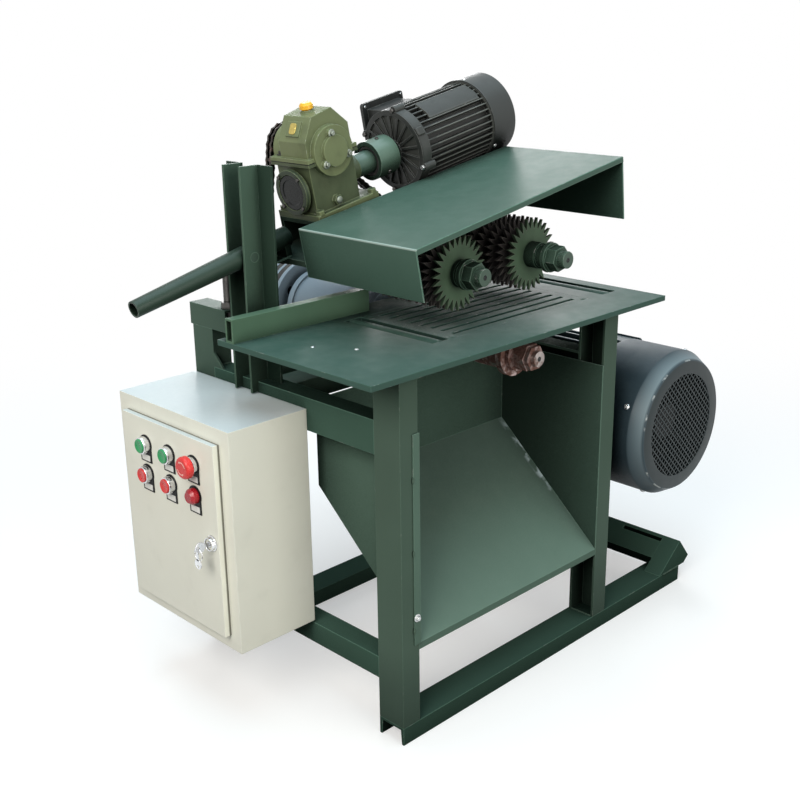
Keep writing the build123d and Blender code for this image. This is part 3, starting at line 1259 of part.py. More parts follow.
def feed_drive():
    """Spiked rollers, their hanging bearings, the sprockets and the roller chain."""
    infeed_shaft, infeed = feed_roller(INFEED_U, INFEED_DROP, HOOD_NEAR + INFEED_INSET, INFEED_SLEEVE)
    outfeed_shaft, outfeed = feed_roller(OUTFEED_U, OUTFEED_DROP, HOOD_NEAR + OUTFEED_INSET, OUTFEED_SLEEVE)
    infeed_shaft += sprocket(INFEED_U, -INFEED_DROP, ROLLER_SPROCKET_TEETH)
    outfeed_shaft += sprocket(OUTFEED_U, -OUTFEED_DROP, ROLLER_SPROCKET_TEETH)
    idler_place = (CHAIN_IDLER_U, chain_idler_height())
    idler = sprocket(*idler_place, ROLLER_SPROCKET_TEETH)
    hub_ends = (PLATE_FAR + SIDE_CLEARANCE, CHAIN_MIDDLE + CHAIN_GAP - SIDE_CLEARANCE)
    idler += rod_y(*idler_place, *hub_ends, CHAIN_IDLER_HUB)
    idler -= rod_y(*idler_place, *hub_ends, CHAIN_IDLER_PIN + RUNNING_CLEARANCE)
    wheel = (WHEEL_U, WHEEL_HEIGHT)
    output_ends = (REDUCER_FAR - OUTPUT_SHAFT_DEPTH, CHAIN_MIDDLE + ROLLER_SHAFT_PROUD)
    output = rod_y(*wheel, *output_ends, OUTPUT_SHAFT_RADIUS)
    output += sprocket(*wheel, DRIVE_SPROCKET_TEETH)
    output += rod_y(*wheel, CHAIN_MIDDLE, CHAIN_MIDDLE + OUTPUT_HUB_WIDTH, OUTPUT_HUB_RADIUS)
    return {
        "infeed_roller": infeed,
        "infeed_roller_shaft": infeed_shaft,
        "outfeed_roller": outfeed,
        "outfeed_roller_shaft": outfeed_shaft,
        "drive_sprocket": output,
        "chain_idler": idler,
        "roller_bearings": roller_bearings(),
        "feed_chain": feed_chain(),
    }


def roller_bearings():
    """Four bearing blocks that hang from the carriage plate and carry the roller shafts."""
    bore = ROLLER_SHAFT_RADIUS + RUNNING_CLEARANCE
    blocks = []
    for u, drop in ((INFEED_U, INFEED_DROP), (OUTFEED_U, OUTFEED_DROP)):
        for y in (BEARING_NEAR, BEARING_FAR):
            end = y + BEARING_WIDTH
            foot_low = PLATE_BOTTOM - BEARING_FOOT
            hanger = block(u - BEARING_HALF_FOOT, u + BEARING_HALF_FOOT, y, end, foot_low, PLATE_BOTTOM)
            hanger += block(u - BEARING_HALF_WEB, u + BEARING_HALF_WEB, y, end, -drop, PLATE_BOTTOM)
            hanger += rod_y(u, -drop, y, end, BEARING_RADIUS)
            blocks.append(hanger - rod_y(u, -drop, y - OVERCUT, end + OVERCUT, bore))
    return Compound(children=blocks)


def chain_circles():
    """Pitch circles of the four sprockets, in the order that the chain meets them."""
    return [
        ((WHEEL_U, WHEEL_HEIGHT), sprocket_radius(DRIVE_SPROCKET_TEETH)),
        ((CHAIN_IDLER_U, chain_idler_height()), sprocket_radius(ROLLER_SPROCKET_TEETH)),
        ((INFEED_U, -INFEED_DROP), sprocket_radius(ROLLER_SPROCKET_TEETH)),
        ((OUTFEED_U, -OUTFEED_DROP), sprocket_radius(ROLLER_SPROCKET_TEETH)),
    ]


def chain_path():
    """The chain's loop as alternating straight runs and arcs, counter-clockwise."""
    circles = chain_circles()
    count = len(circles)
    runs = []
    for i in range(count):
        (x1, z1), r1 = circles[i]
        (x2, z2), r2 = circles[(i + 1) % count]
        heading = atan2(z2 - z1, x2 - x1)
        lean = acos((r1 - r2) / hypot(x2 - x1, z2 - z1))
        angle = heading - lean
        start = (x1 + r1 * cos(angle), z1 + r1 * sin(angle))
        end = (x2 + r2 * cos(angle), z2 + r2 * sin(angle))
        runs.append((start, end, angle))
    path = []
    for i in range(count):
        start, end, angle = runs[i]
        path.append(("run", start, end, hypot(end[0] - start[0], end[1] - start[1])))
        centre, radius = circles[(i + 1) % count]
        sweep = (runs[(i + 1) % count][2] - angle) % (2 * pi)
        path.append(("arc", centre, (radius, angle), radius * sweep))
    return path


def chain_joints():
    """Pin positions spaced evenly round the loop, close to the chain's pitch."""
    path = chain_path()
    total = sum(piece[3] for piece in path)
    links = 2 * round(total / CHAIN_PITCH / 2)
    step = total / links
    pins = []
    for i in range(links):
        left = i * step
        for kind, first, second, length in path:
            if left > length:
                left -= length
                continue
            if kind == "run":
                share = left / length
                pins.append(tuple(a + (b - a) * share for a, b in zip(first, second)))
            else:
                radius, angle = second
                turned = angle + left / radius
                pins.append((first[0] + radius * cos(turned), first[1] + radius * sin(turned)))
            break
    return pins


def chain_outline(pins, side):
    """Scalloped edge of the chain: full height at each pin, waisted between pins."""
    points = []
    for i, pin in enumerate(pins):
        before = pins[i - 1]
        after = pins[(i + 1) % len(pins)]
        heading = atan2(after[1] - before[1], after[0] - before[0])
        reach = side * CHAIN_HEIGHT / 2
        points.append((pin[0] + reach * sin(heading), pin[1] - reach * cos(heading)))
        heading = atan2(after[1] - pin[1], after[0] - pin[0])
        middle = ((pin[0] + after[0]) / 2, (pin[1] + after[1]) / 2)
        waist = reach * CHAIN_WAIST
        points.append((middle[0] + waist * sin(heading), middle[1] - waist * cos(heading)))
    return make_face(Polyline(*points, close=True))


def feed_chain():
    """Roller chain as two scalloped plate loops; its rollers show between the sprockets."""
    pins = chain_joints()
    band = chain_outline(pins, 1) - chain_outline(pins, -1)
    outer = CHAIN_GAP / 2 + 2 * CHAIN_PLATE
    plate = extrude(band, 2 * CHAIN_PLATE)
    chain = Pos(0, CHAIN_MIDDLE - CHAIN_GAP / 2, 0) * Rot(90, 0, 0) * plate
    chain += Pos(0, CHAIN_MIDDLE + outer, 0) * Rot(90, 0, 0) * plate
    rollers = []
    sides = (CHAIN_MIDDLE - CHAIN_GAP / 2, CHAIN_MIDDLE + CHAIN_GAP / 2)
    for pin in pins:
        clear = min(hypot(pin[0] - c[0], pin[1] - c[1]) - r for c, r in chain_circles())
        if clear > CHAIN_PITCH / 2:
            rollers.append(hex_y(*pin, *sides, CHAIN_ROLLER))
    return chain + rollers


def button_places():
    """Centres of the six operators on the door: (name, y, z)."""
    top_row = ("start_button_a", "start_button_b", "estop_button")
    low_row = ("stop_button_a", "stop_button_b", "pilot_lamp")
    places = []
    for row, line in enumerate((top_row, low_row)):
        for column, name in enumerate(line):
            places.append((name, BUTTON_FIRST_Y - BUTTON_COLUMNS * column, BUTTON_TOP_Z - BUTTON_ROWS * row))
    return places


def cabinet():
    """Sheet-steel control cabinet with a hinged pan door, push-buttons, a lamp and a key lock."""
    front = -CABINET_DEPTH
    t = CABINET_SHEET
    margin = DOOR_MARGIN + DOOR_LAP
    box = block(front, 0, CABINET_NEAR, CABINET_FAR, CABINET_BOTTOM, CABINET_TOP)
    box -= block(front + t, -t, CABINET_NEAR + t, CABINET_FAR - t, CABINET_BOTTOM + t, CABINET_TOP - t)
    box -= block(
        front - OVERCUT, front + t + OVERCUT, CABINET_NEAR + margin, CABINET_FAR - margin,
        CABINET_BOTTOM + margin, CABINET_TOP - margin,
    )
    s = DOOR_SHEET
    door = block(DOOR_FRONT, DOOR_BACK, DOOR_NEAR, DOOR_FAR, DOOR_LOW, DOOR_HIGH)
    door -= block(
        DOOR_FRONT + s, DOOR_BACK + OVERCUT, DOOR_NEAR + s, DOOR_FAR - s, DOOR_LOW + s, DOOR_HIGH - s
    )

    hinge_x = (DOOR_FRONT + DOOR_BACK) / 2
    hinge_y = DOOR_FAR + HINGE_OFFSET
    half_leaf = HINGE_LEAF / 2
    for z in (DOOR_LOW + HINGE_INSET, DOOR_HIGH - HINGE_INSET - 2 * HINGE_LENGTH):
        split = z + HINGE_LENGTH
        pin = rod_z(hinge_x, hinge_y, z, split, HINGE_RADIUS)
        pin += block(hinge_x, front, hinge_y - half_leaf, hinge_y + half_leaf, z, split)
        leaf_ends = (split + SIDE_CLEARANCE, split + HINGE_LENGTH)
        leaf = rod_z(hinge_x, hinge_y, *leaf_ends, HINGE_RADIUS)
        leaf += block(hinge_x - half_leaf, hinge_x + half_leaf, DOOR_FAR - s, hinge_y, *leaf_ends)
        box += pin
        door += leaf

    nodes = {}
    collars = []
    legends = []
    stem_bore = BUTTON_STEM_RADIUS + SIDE_CLEARANCE
    seat = DOOR_FRONT - LEGEND_PLATE
    for name, y, z in button_places():
        tag = Circle(COLLAR_OUTER + LEGEND_MARGIN)
        tag += Pos(0, -LEGEND_DROP / 2) * Rectangle(LEGEND_WIDTH, LEGEND_DROP)
        plane = Plane(origin=(DOOR_FRONT, y, z), x_dir=(0, -1, 0), z_dir=(-1, 0, 0))
        legends.append(plane.location * extrude(tag - Circle(stem_bore), LEGEND_PLATE))
        door -= rod_x(y, z, DOOR_FRONT - OVERCUT, DOOR_FRONT + s + OVERCUT, stem_bore)
        if name == "pilot_lamp":
            nodes[name] = pilot_lamp(y, z, seat)
            continue
        ring = rod_x(y, z, seat - COLLAR_HEIGHT, seat, COLLAR_OUTER)
        collars.append(ring - rod_x(y, z, seat - COLLAR_HEIGHT - OVERCUT, seat + OVERCUT, stem_bore))
        nodes[name] = push_button(name, y, z, seat - COLLAR_HEIGHT)

    lock_front = DOOR_FRONT - LOCK_PROUD
    barrel_bore = LOCK_BARREL + RUNNING_CLEARANCE
    door += rod_x(LOCK_Y, LOCK_Z, lock_front, DOOR_FRONT, LOCK_RADIUS)
    door -= rod_x(LOCK_Y, LOCK_Z, lock_front - OVERCUT, DOOR_FRONT + s + OVERCUT, barrel_bore)
    nodes["cabinet_box"] = box
    nodes["cabinet_door"] = door
    nodes["door_key"] = door_key(lock_front, front + t + CAM_GAP)
    nodes["button_collars"] = Compound(children=collars)
    nodes["legend_plates"] = Compound(children=legends)
    return nodes


def pilot_lamp(y, z, seat):
    """Panel lamp with a tapered lens."""
    rim = seat - LAMP_RIM
    lamp = rod_x(y, z, seat, DOOR_FRONT + DOOR_SHEET, BUTTON_STEM_RADIUS)
    lamp += rod_x(y, z, rim, seat, LAMP_RADIUS)
    lens = Cone(LAMP_RADIUS, LAMP_LENS_RADIUS, LAMP_LENS, align=(Align.CENTER, Align.CENTER, Align.MIN))
    return lamp + Pos(rim, y, z) * Rot(0, -90, 0) * lens


def push_button(name, y, z, collar_front):
    """Push-button with its stem through the door; the emergency stop has a mushroom head."""
    back = collar_front - BUTTON_TRAVEL - SIDE_CLEARANCE
    stem = rod_x(y, z, back, DOOR_FRONT + DOOR_SHEET + BUTTON_STEM_INSIDE, BUTTON_STEM_RADIUS)
    mushroom = name == "estop_button"
    height = MUSHROOM_HEIGHT if mushroom else BUTTON_HEAD
    head = rod_x(y, z, back - height, back, MUSHROOM_RADIUS if mushroom else BUTTON_HEAD_RADIUS)
    front_edge = head.edges().filter_by(GeomType.CIRCLE).sort_by(Axis.X)[0]
    head = fillet(front_edge, MUSHROOM_FILLET) if mushroom else chamfer(front_edge, BUTTON_BEVEL)
    return stem + head


def door_key(lock_front, cam_front):
    """Key with its lock barrel and the cam behind the cabinet's front edge."""
    cam_back = cam_front + CAM_PLATE
    half_cam = CAM_WIDTH / 2
    half_plate = KEY_PLATE / 2
    half_blade = KEY_BLADE / 2
    face = lock_front - OVERCUT
    key = rod_x(LOCK_Y, LOCK_Z, face, cam_back, LOCK_BARREL)
    key += block(
        cam_front, cam_back, LOCK_Y - half_cam, LOCK_Y + half_cam, LOCK_Z - CAM_REACH, LOCK_Z + LOCK_BARREL
    )
    key += block(
        face - KEY_BLADE_LENGTH, face, LOCK_Y - half_plate, LOCK_Y + half_plate,
        LOCK_Z - half_blade, LOCK_Z + half_blade,
    )
    bow_x = lock_front - KEY_BOW_OFFSET
    bow = rod_y(bow_x, LOCK_Z, LOCK_Y - half_plate, LOCK_Y + half_plate, KEY_BOW_RADIUS)
    return key + bow - rod_y(
        bow_x - KEY_HOLE_OFFSET, LOCK_Z, LOCK_Y - KEY_PLATE, LOCK_Y + KEY_PLATE, KEY_HOLE_RADIUS
    )


def fixed_nodes():
    nodes = frame_members()
    nodes.update(columns())
    nodes.update(lever_stop())
    nodes.update(table_parts())
    nodes.update(hopper())
    nodes.update(spindle())
    nodes.update(belts())
    nodes.update(main_motor())
    nodes.update(cabinet())
    return nodes


def carriage_nodes():
    nodes = carriage_structure()
    nodes.update(reducer())
    nodes.update(feed_motor())
    nodes.update(feed_drive())
    return nodes


def main():
    shapes = fixed_nodes()
    for name, shape in carriage_nodes().items():
        shapes[name] = CARRIAGE * shape
    boxes = [shape.bounding_box() for shape in shapes.values()]
    middle_x = (min(b.min.X for b in boxes) + max(b.max.X for b in boxes)) / 2
    middle_y = (min(b.min.Y for b in boxes) + max(b.max.Y for b in boxes)) / 2
    to_origin = Pos(-middle_x, -middle_y, 0)
    os.makedirs("parts", exist_ok=True)
    for name, shape in shapes.items():
        export_step(to_origin * shape, f"parts/{name}.step")


main()
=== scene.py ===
"""Looks of the multi-rip saw: paint, bare metal, small fittings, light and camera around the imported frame."""
import random
from math import cos, pi, radians, sin, sqrt

import bmesh
import bpy
from mathutils import Matrix, Vector


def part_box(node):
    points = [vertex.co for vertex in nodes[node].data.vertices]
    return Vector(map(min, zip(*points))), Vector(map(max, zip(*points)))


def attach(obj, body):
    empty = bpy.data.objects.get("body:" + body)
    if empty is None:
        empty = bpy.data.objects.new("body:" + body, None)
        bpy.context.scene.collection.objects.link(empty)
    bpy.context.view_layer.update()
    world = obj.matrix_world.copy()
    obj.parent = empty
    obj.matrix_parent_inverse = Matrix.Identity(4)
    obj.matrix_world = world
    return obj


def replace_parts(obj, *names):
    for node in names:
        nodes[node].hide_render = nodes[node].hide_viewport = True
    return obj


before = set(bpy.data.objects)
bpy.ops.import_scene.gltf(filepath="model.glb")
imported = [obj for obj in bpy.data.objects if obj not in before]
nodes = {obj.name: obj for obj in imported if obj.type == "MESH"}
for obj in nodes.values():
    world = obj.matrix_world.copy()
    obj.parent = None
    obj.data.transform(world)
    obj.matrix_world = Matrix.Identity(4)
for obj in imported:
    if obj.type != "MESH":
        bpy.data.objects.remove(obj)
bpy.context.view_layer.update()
dice = random.Random(11)
MM = 0.001
CORNER = Vector((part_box("leg_front_near")[0][0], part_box("leg_front_near")[0][1], 0))

# Directions towards the machine's sides, as the nodes' names have them.
UP = Vector((0, 0, 1))
NEAR = (0, -1, 0)
FAR = (0, 1, 0)
FRONT = (-1, 0, 0)
REAR = (1, 0, 0)

# Places that several pieces share, in millimetres along the axes of at().
TABLE_TOP = 633
ARBOR_X = 315
ARBOR_Z = 577
MOTOR_X = 709
MOTOR_Z = 368
TAG_X = -167
BUTTON_ROWS = (452, 401)
BUTTON_COLUMNS = (421, 355)
THIRD_COLUMN = 289
LOCK_Y = 252

# The carriage's hinge, and the line of its worm, coupling and feed motor along the axes of lifted().
TILT = radians(11.5)
PIVOT_X = 6
PIVOT_Z = 746
SHAFT_Y = 352
SHAFT_W = 67

# Places of the Mix node's colour sockets, whose names it repeats for numbers and vectors.
COLOUR_A = 6
COLOUR_B = 7
COLOUR_OUT = 2


def at(x, y, z):
    """A point given in millimetres from the outside corner of the near front leg."""
    return CORNER + Vector((x, y, z)) * MM


def lean(u, y, w):
    """A direction in the tilted carriage's own axes."""
    return Vector((u * cos(TILT) - w * sin(TILT), y, u * sin(TILT) + w * cos(TILT)))


def lifted(u, y, w):
    """A point in millimetres along the tilted carriage, measured from its pivot."""
    return at(PIVOT_X, 0, PIVOT_Z) + lean(u, y, w) * MM


CARRIAGE_AHEAD = lean(1, 0, 0)
CARRIAGE_BACK = lean(-1, 0, 0)
CARRIAGE_UP = lean(0, 0, 1)


def srgb(red, green, blue):
    """A colour written as 0 to 255 display values, as the linear colour that shaders take."""
    linear = []
    for value in (red, green, blue):
        share = value / 255
        linear.append(share / 12.92 if share <= 0.04045 else ((share + 0.055) / 1.055) ** 2.4)
    return (*linear, 1.0)


class Surface:
    """A procedural material: one Principled shader and the few kinds of node used here."""

    def __init__(self, metallic=0.0, roughness=0.5, **constants):
        self.material = bpy.data.materials.new("finish")
        self.material.use_nodes = True
        self.tree = self.material.node_tree
        self.shader = self.tree.nodes["Principled BSDF"]
        self.shader.inputs["Metallic"].default_value = metallic
        self.shader.inputs["Roughness"].default_value = roughness
        for socket, value in constants.items():
            self.shader.inputs[socket.replace("_", " ")].default_value = value
        self.coords = self.tree.nodes.new("ShaderNodeTexCoord").outputs["Object"]
        self.rounded = None

    def feed(self, socket, value):
        """Link another node's output to a socket, or set a constant on it."""
        if isinstance(value, bpy.types.NodeSocket):
            self.tree.links.new(value, socket)
        else:
            socket.default_value = value

    def noise(self, size, detail=3.0, stretch=(1, 1, 1)):
        """Soft noise from 0 to 1 whose blotches are about this many metres across."""
        node = self.tree.nodes.new("ShaderNodeTexNoise")
        node.inputs["Scale"].default_value = 1 / size
        node.inputs["Detail"].default_value = detail
        mapping = self.tree.nodes.new("ShaderNodeMapping")
        mapping.inputs["Scale"].default_value = stretch
        self.feed(mapping.inputs["Vector"], self.coords)
        self.feed(node.inputs["Vector"], mapping.outputs["Vector"])
        return node.outputs["Fac"]

    def span(self, value, low, high, out_low=0.0, out_high=1.0):
        """The value's place between low and high, held to the output range."""
        node = self.tree.nodes.new("ShaderNodeMapRange")
        self.feed(node.inputs["Value"], value)
        node.inputs["From Min"].default_value = low
        node.inputs["From Max"].default_value = high
        node.inputs["To Min"].default_value = out_low
        node.inputs["To Max"].default_value = out_high
        return node.outputs["Result"]

    def math(self, operation, first, second):
        node = self.tree.nodes.new("ShaderNodeMath")
        node.operation = operation
        self.feed(node.inputs[0], first)
        self.feed(node.inputs[1], second)
        return node.outputs["Value"]

    def times(self, first, second):
        return self.math("MULTIPLY", first, second)

    def mix(self, share, first, second):
        """One colour fading into another."""
        node = self.tree.nodes.new("ShaderNodeMix")
        node.data_type = "RGBA"
        self.feed(node.inputs["Factor"], share)
        self.feed(node.inputs[COLOUR_A], first)
        self.feed(node.inputs[COLOUR_B], second)
        return node.outputs[COLOUR_OUT]

    def edges(self, radius):
        """1 along sharp edges and 0 on open faces; bumps laid later follow the rounded edge."""
        flat = 0.995
        turned = 0.90
        bevel = self.tree.nodes.new("ShaderNodeBevel")
        bevel.samples = 8
        bevel.inputs["Radius"].default_value = radius
        geometry = self.tree.nodes.new("ShaderNodeNewGeometry")
        self.rounded = bevel.outputs["Normal"]
        dot = self.vector("DOT_PRODUCT", self.rounded, geometry.outputs["Normal"])
        return self.span(dot.outputs["Value"], flat, turned)

    def hollows(self, distance):
        """1 deep in corners and 0 on open faces."""
        open_face = 0.75
        corner = 0.25
        node = self.tree.nodes.new("ShaderNodeAmbientOcclusion")
        node.samples = 6
        node.inputs["Distance"].default_value = distance
        return self.span(node.outputs["AO"], open_face, corner)

    def along(self, axis):
        """The object's own coordinate along X, Y or Z."""
        split = self.tree.nodes.new("ShaderNodeSeparateXYZ")
        self.feed(split.inputs[0], self.coords)
        return split.outputs[axis]

    def vector(self, operation, first, second):
        """A vector node, whose result is a number or a vector."""
        node = self.tree.nodes.new("ShaderNodeVectorMath")
        node.operation = operation
        self.feed(node.inputs[0], first)
        self.feed(node.inputs[1], second)
        return node

    def height_along(self, direction):
        """Distance from the origin, measured along a direction."""
        return self.vector("DOT_PRODUCT", self.coords, direction).outputs["Value"]

    def off_axis(self, centre, direction):
        """Distance from the axis that runs through a point in a direction of length 1."""
        offset = self.vector("SUBTRACT", self.coords, centre)
        across = self.vector("CROSS_PRODUCT", offset.outputs["Vector"], direction)
        return self.vector("LENGTH", across.outputs["Vector"], (0, 0, 0)).outputs["Value"]

    def facing_up(self):
        """1 on level faces and 0 on those steeper than 60 degrees."""
        geometry = self.tree.nodes.new("ShaderNodeNewGeometry")
        split = self.tree.nodes.new("ShaderNodeSeparateXYZ")
        self.feed(split.inputs[0], geometry.outputs["Normal"])
        return self.span(split.outputs["Z"], 0.5, 1.0)

    def bump(self, height, depth, normal=None):
        """Relief of this depth in metres, laid over another or over the rounded edges."""
        node = self.tree.nodes.new("ShaderNodeBump")
        node.inputs["Strength"].default_value = 1.0
        node.inputs["Distance"].default_value = depth
        self.feed(node.inputs["Height"], height)
        normal = normal or self.rounded
        if normal:
            self.feed(node.inputs["Normal"], normal)
        return node.outputs["Normal"]

    def done(self, colour, roughness=None, normal=None):
        """The material, with these joined to its shader."""
        self.feed(self.shader.inputs["Base Color"], colour)
        if roughness is not None:
            self.feed(self.shader.inputs["Roughness"], roughness)
        if normal is not None:
            self.feed(self.shader.inputs["Normal"], normal)
        return self.material


BARE = srgb(176, 178, 174)


def shade(colour, factor):
    """The colour made darker or lighter."""
    return (*(channel * factor for channel in colour[:3]), 1.0)


def enamel(
    colour, chip=BARE, edge_wear=0.3, wave=0.0, dust=0.05,
    matt=0.42, shine=0.12, rim=0.45, width=0.0016, reach=0.16, marks=None,
):
    """Sprayed enamel on steel: clouded colour, painted shade in corners and under other parts, painted
    highlights and chipped paint on edges, a little dust on top.
    """
    surface = Surface(roughness=matt, Specular_IOR_Level=shine)
    edge = surface.edges(width)
    cloud = surface.span(surface.noise(0.11, 5), 0.3, 0.7)
    base = surface.mix(cloud, shade(colour, 0.96), shade(colour, 1.04))
    streak = surface.span(surface.noise(0.05, 4, (1, 1, 0.12)), 0.54, 0.80, 0.0, 0.22)
    base = surface.mix(streak, base, shade(colour, 0.80))
    # Painted shade: faces that have other parts close round them, within reach, fade to a dark copy of the
    # paint and lose their gloss.
    painted_shade = surface.hollows(reach)
    base = surface.mix(surface.span(painted_shade, 0.08, 0.8, 0.0, 0.9), base, shade(colour, 0.16))
    if shine:
        gloss = surface.span(painted_shade, 0.0, 0.45, shine, 0.0)
        surface.feed(surface.shader.inputs["Specular IOR Level"], gloss)
    # Painted shade in tight corners and creases.
    crease_shade = surface.times(surface.hollows(0.04), 0.55)
    base = surface.mix(crease_shade, base, shade(colour, 0.25))
    powder = surface.times(surface.facing_up(), surface.span(surface.noise(0.03, 6), 0.40, 0.8))
    base = surface.mix(surface.times(powder, dust), base, srgb(170, 180, 174))
    # Painted highlight: edges fade to a lighter copy of the paint, as strong as rim asks.
    base = surface.mix(surface.times(edge, rim), base, shade(colour, 2.2))
    flakes = surface.span(surface.noise(0.014, 4), 0.60, 0.66)
    chipped = surface.times(surface.times(edge, flakes), edge_wear)
    base = surface.mix(chipped, base, chip)
    if marks:
        base = marks(surface, base)
    sheen = surface.span(surface.noise(0.02, 4), 0.25, 0.75, matt - 0.03, matt + 0.04)
    relief = surface.bump(surface.noise(0.0024, 2), 0.00005)
    if wave:
        relief = surface.bump(surface.noise(0.16, 1), wave, relief)
    return surface.done(base, sheen, relief)


def fold_highlight(surface, base):
    """Painted highlight along the hood's front fold."""
    fold = lifted(68, 0, 29)
    painted_glint = surface.span(surface.off_axis(fold, FAR), 0.0032, 0.0016, 0.0, 0.8)
    return surface.mix(painted_glint, base, srgb(172, 190, 184))


def low_shade(surface, base):
    """Painted shade that darkens the rails nearest the floor."""
    low = surface.span(surface.along("Z"), 0.17, 0.09, 0.0, 0.32)
    return surface.mix(low, base, srgb(18, 30, 26))


def flange_shade(surface, base):
    """Painted shade on each post's rear flange."""
    rear = surface.span(surface.along("X"), at(19, 0, 0).x, at(19.8, 0, 0).x, 0.0, 0.65)
    return surface.mix(rear, base, srgb(12, 26, 20))


def floor_light_and_scuffs(surface, base):
    """Up-facing faces of the chute painted lighter, as painted light on its floor, and pale scuffs beside its
    right-hand seam.
    """
    # Painted light: up-facing faces lighter.
    base = surface.mix(surface.times(surface.facing_up(), 0.4), base, srgb(140, 166, 155))
    seam = surface.span(surface.along("X"), at(484, 0, 0).x, at(494, 0, 0).x)
    height = surface.along("Z")
    low_end = surface.span(height, 0.25, 0.28)
    high_end = surface.span(height, 0.38, 0.35)
    rubbed = surface.span(surface.noise(0.030, 5), 0.44, 0.52)
    share = surface.span(surface.facing_up(), 0.2, 0.45)
    for part in (seam, low_end, high_end, rubbed):
        share = surface.times(share, part)
    return surface.mix(share, base, srgb(176, 194, 198))


def cover_light_and_chips(surface, base):
    """Painted shade on the flat face, a lighter taper with a painted highlight stronger higher up, and paint
    knocked off the rim of the motor's fan cover.
    """
    radius = surface.off_axis(at(MOTOR_X, 0, MOTOR_Z), FAR)
    # Painted highlight on the taper, stronger higher up.
    taper = surface.times(surface.span(radius, 0.1255, 0.1275), surface.span(radius, 0.1405, 0.128))
    front = surface.span(surface.along("Y"), at(0, -6, 0).y, at(0, -12, 0).y)
    lit = surface.span(surface.along("Z"), 0.25, 0.43, 0.08, 0.78)
    share = surface.times(surface.times(taper, front), lit)
    base = surface.mix(share, base, srgb(118, 134, 140))
    # Painted shade on the flat face.
    base = surface.mix(surface.span(radius, 0.1236, 0.1222, 0.0, 0.75), base, srgb(36, 42, 41))
    rim = surface.times(surface.span(radius, 0.1234, 0.1244), surface.span(radius, 0.1264, 0.1252))
    knocked = surface.span(surface.noise(0.022, 5), 0.54, 0.62)
    share = surface.times(surface.times(rim, knocked), front)
    return surface.mix(share, base, srgb(168, 174, 174))


def spiked(colour):
    """Toothed feed roller: green end face, discs behind it dark with resin, painted shade between the teeth and
    painted highlights on their edges.
    """
    surface = Surface(roughness=0.5, Specular_IOR_Level=0.15)
    edge = surface.edges(0.0008)
    cloud = surface.span(surface.noise(0.035, 5), 0.3, 0.7)
    base = surface.mix(cloud, shade(colour, 0.74), shade(colour, 1.08))
    inner = surface.span(surface.along("Y"), at(0, 102, 0).y, at(0, 107, 0).y)
    base = surface.mix(inner, base, srgb(62, 58, 58))
    # Painted shade deep between the discs and teeth.
    base = surface.mix(surface.times(surface.hollows(0.02), 0.7), base, srgb(14, 13, 13))
    # Painted highlight along the teeth's edges.
    base = surface.mix(surface.times(edge, 0.7), base, srgb(140, 138, 130))
    return surface.done(base, None, surface.bump(surface.noise(0.003, 3), 0.0001))


def door_gap(surface, base):
    """Shadow line behind the door's folded edge."""
    back = at(-153.5, 0, 0).x
    gap = surface.span(surface.along("X"), back - 0.0036, back - 0.0028)
    return surface.mix(gap, base, srgb(120, 118, 108))


def powder_coat(colour, marks=None):
    """Fine textured powder coat of a sheet-steel cabinet, with painted shade in its corners, bluish painted
    shade on its top and painted highlights on its edges.
    """
    surface = Surface(roughness=0.46)
    edge = surface.edges(0.0012)
    tint = surface.span(surface.noise(0.12, 4), 0.3, 0.7)
    base = surface.mix(tint, shade(colour, 0.97), shade(colour, 1.02))
    smudge = surface.span(surface.noise(0.04, 5), 0.58, 0.78, 0.0, 0.08)
    base = surface.mix(smudge, base, srgb(160, 158, 146))
    # Painted shade in corners and joints.
    base = surface.mix(surface.times(surface.hollows(0.012), 0.45), base, srgb(104, 102, 92))
    # Bluish painted shade on up-facing faces.
    base = surface.mix(surface.times(surface.facing_up(), 0.5), base, srgb(156, 178, 196))
    # Painted highlight along edges.
    base = surface.mix(surface.times(edge, 0.45), base, srgb(248, 248, 242))
    if marks:
        base = marks(surface, base)
    grain = surface.bump(surface.noise(0.0011, 2), 0.00008)
    wave = surface.bump(surface.noise(0.2, 1), 0.0008, grain)
    return surface.done(base, surface.span(surface.noise(0.01, 3), 0.3, 0.7, 0.40, 0.54), wave)


def reducer_light_and_shade(surface, base):
    """The reducer's upper cover and near-side cap painted lighter than the housing under them, which is painted
    darker, as painted light and shade, and painted shade on its worm cap.
    """
    split = lifted(0, 0, 115).dot(CARRIAGE_UP)
    upper = surface.span(surface.height_along(CARRIAGE_UP), split - 0.0005, split + 0.0005)
    cap = surface.span(surface.along("Y"), at(0, 302.5, 0).y, at(0, 301.5, 0).y)
    upper = surface.math("MAXIMUM", upper, cap)
    # Painted shade on the housing below the split.
    base = surface.mix(surface.span(upper, 0.0, 1.0, 0.34, 0.0), base, srgb(18, 32, 28))
    # Painted light on the upper cover and the near-side cap.
    base = surface.mix(surface.times(upper, 0.3), base, srgb(140, 148, 104))
    # Painted shade on the worm cap's face.
    face = lifted(119, 0, 0).dot(CARRIAGE_AHEAD)
    worm_cap = surface.span(surface.height_along(CARRIAGE_AHEAD), face + 0.0005, face - 0.0005, 0.0, 0.6)
    return surface.mix(worm_cap, base, srgb(30, 44, 38))


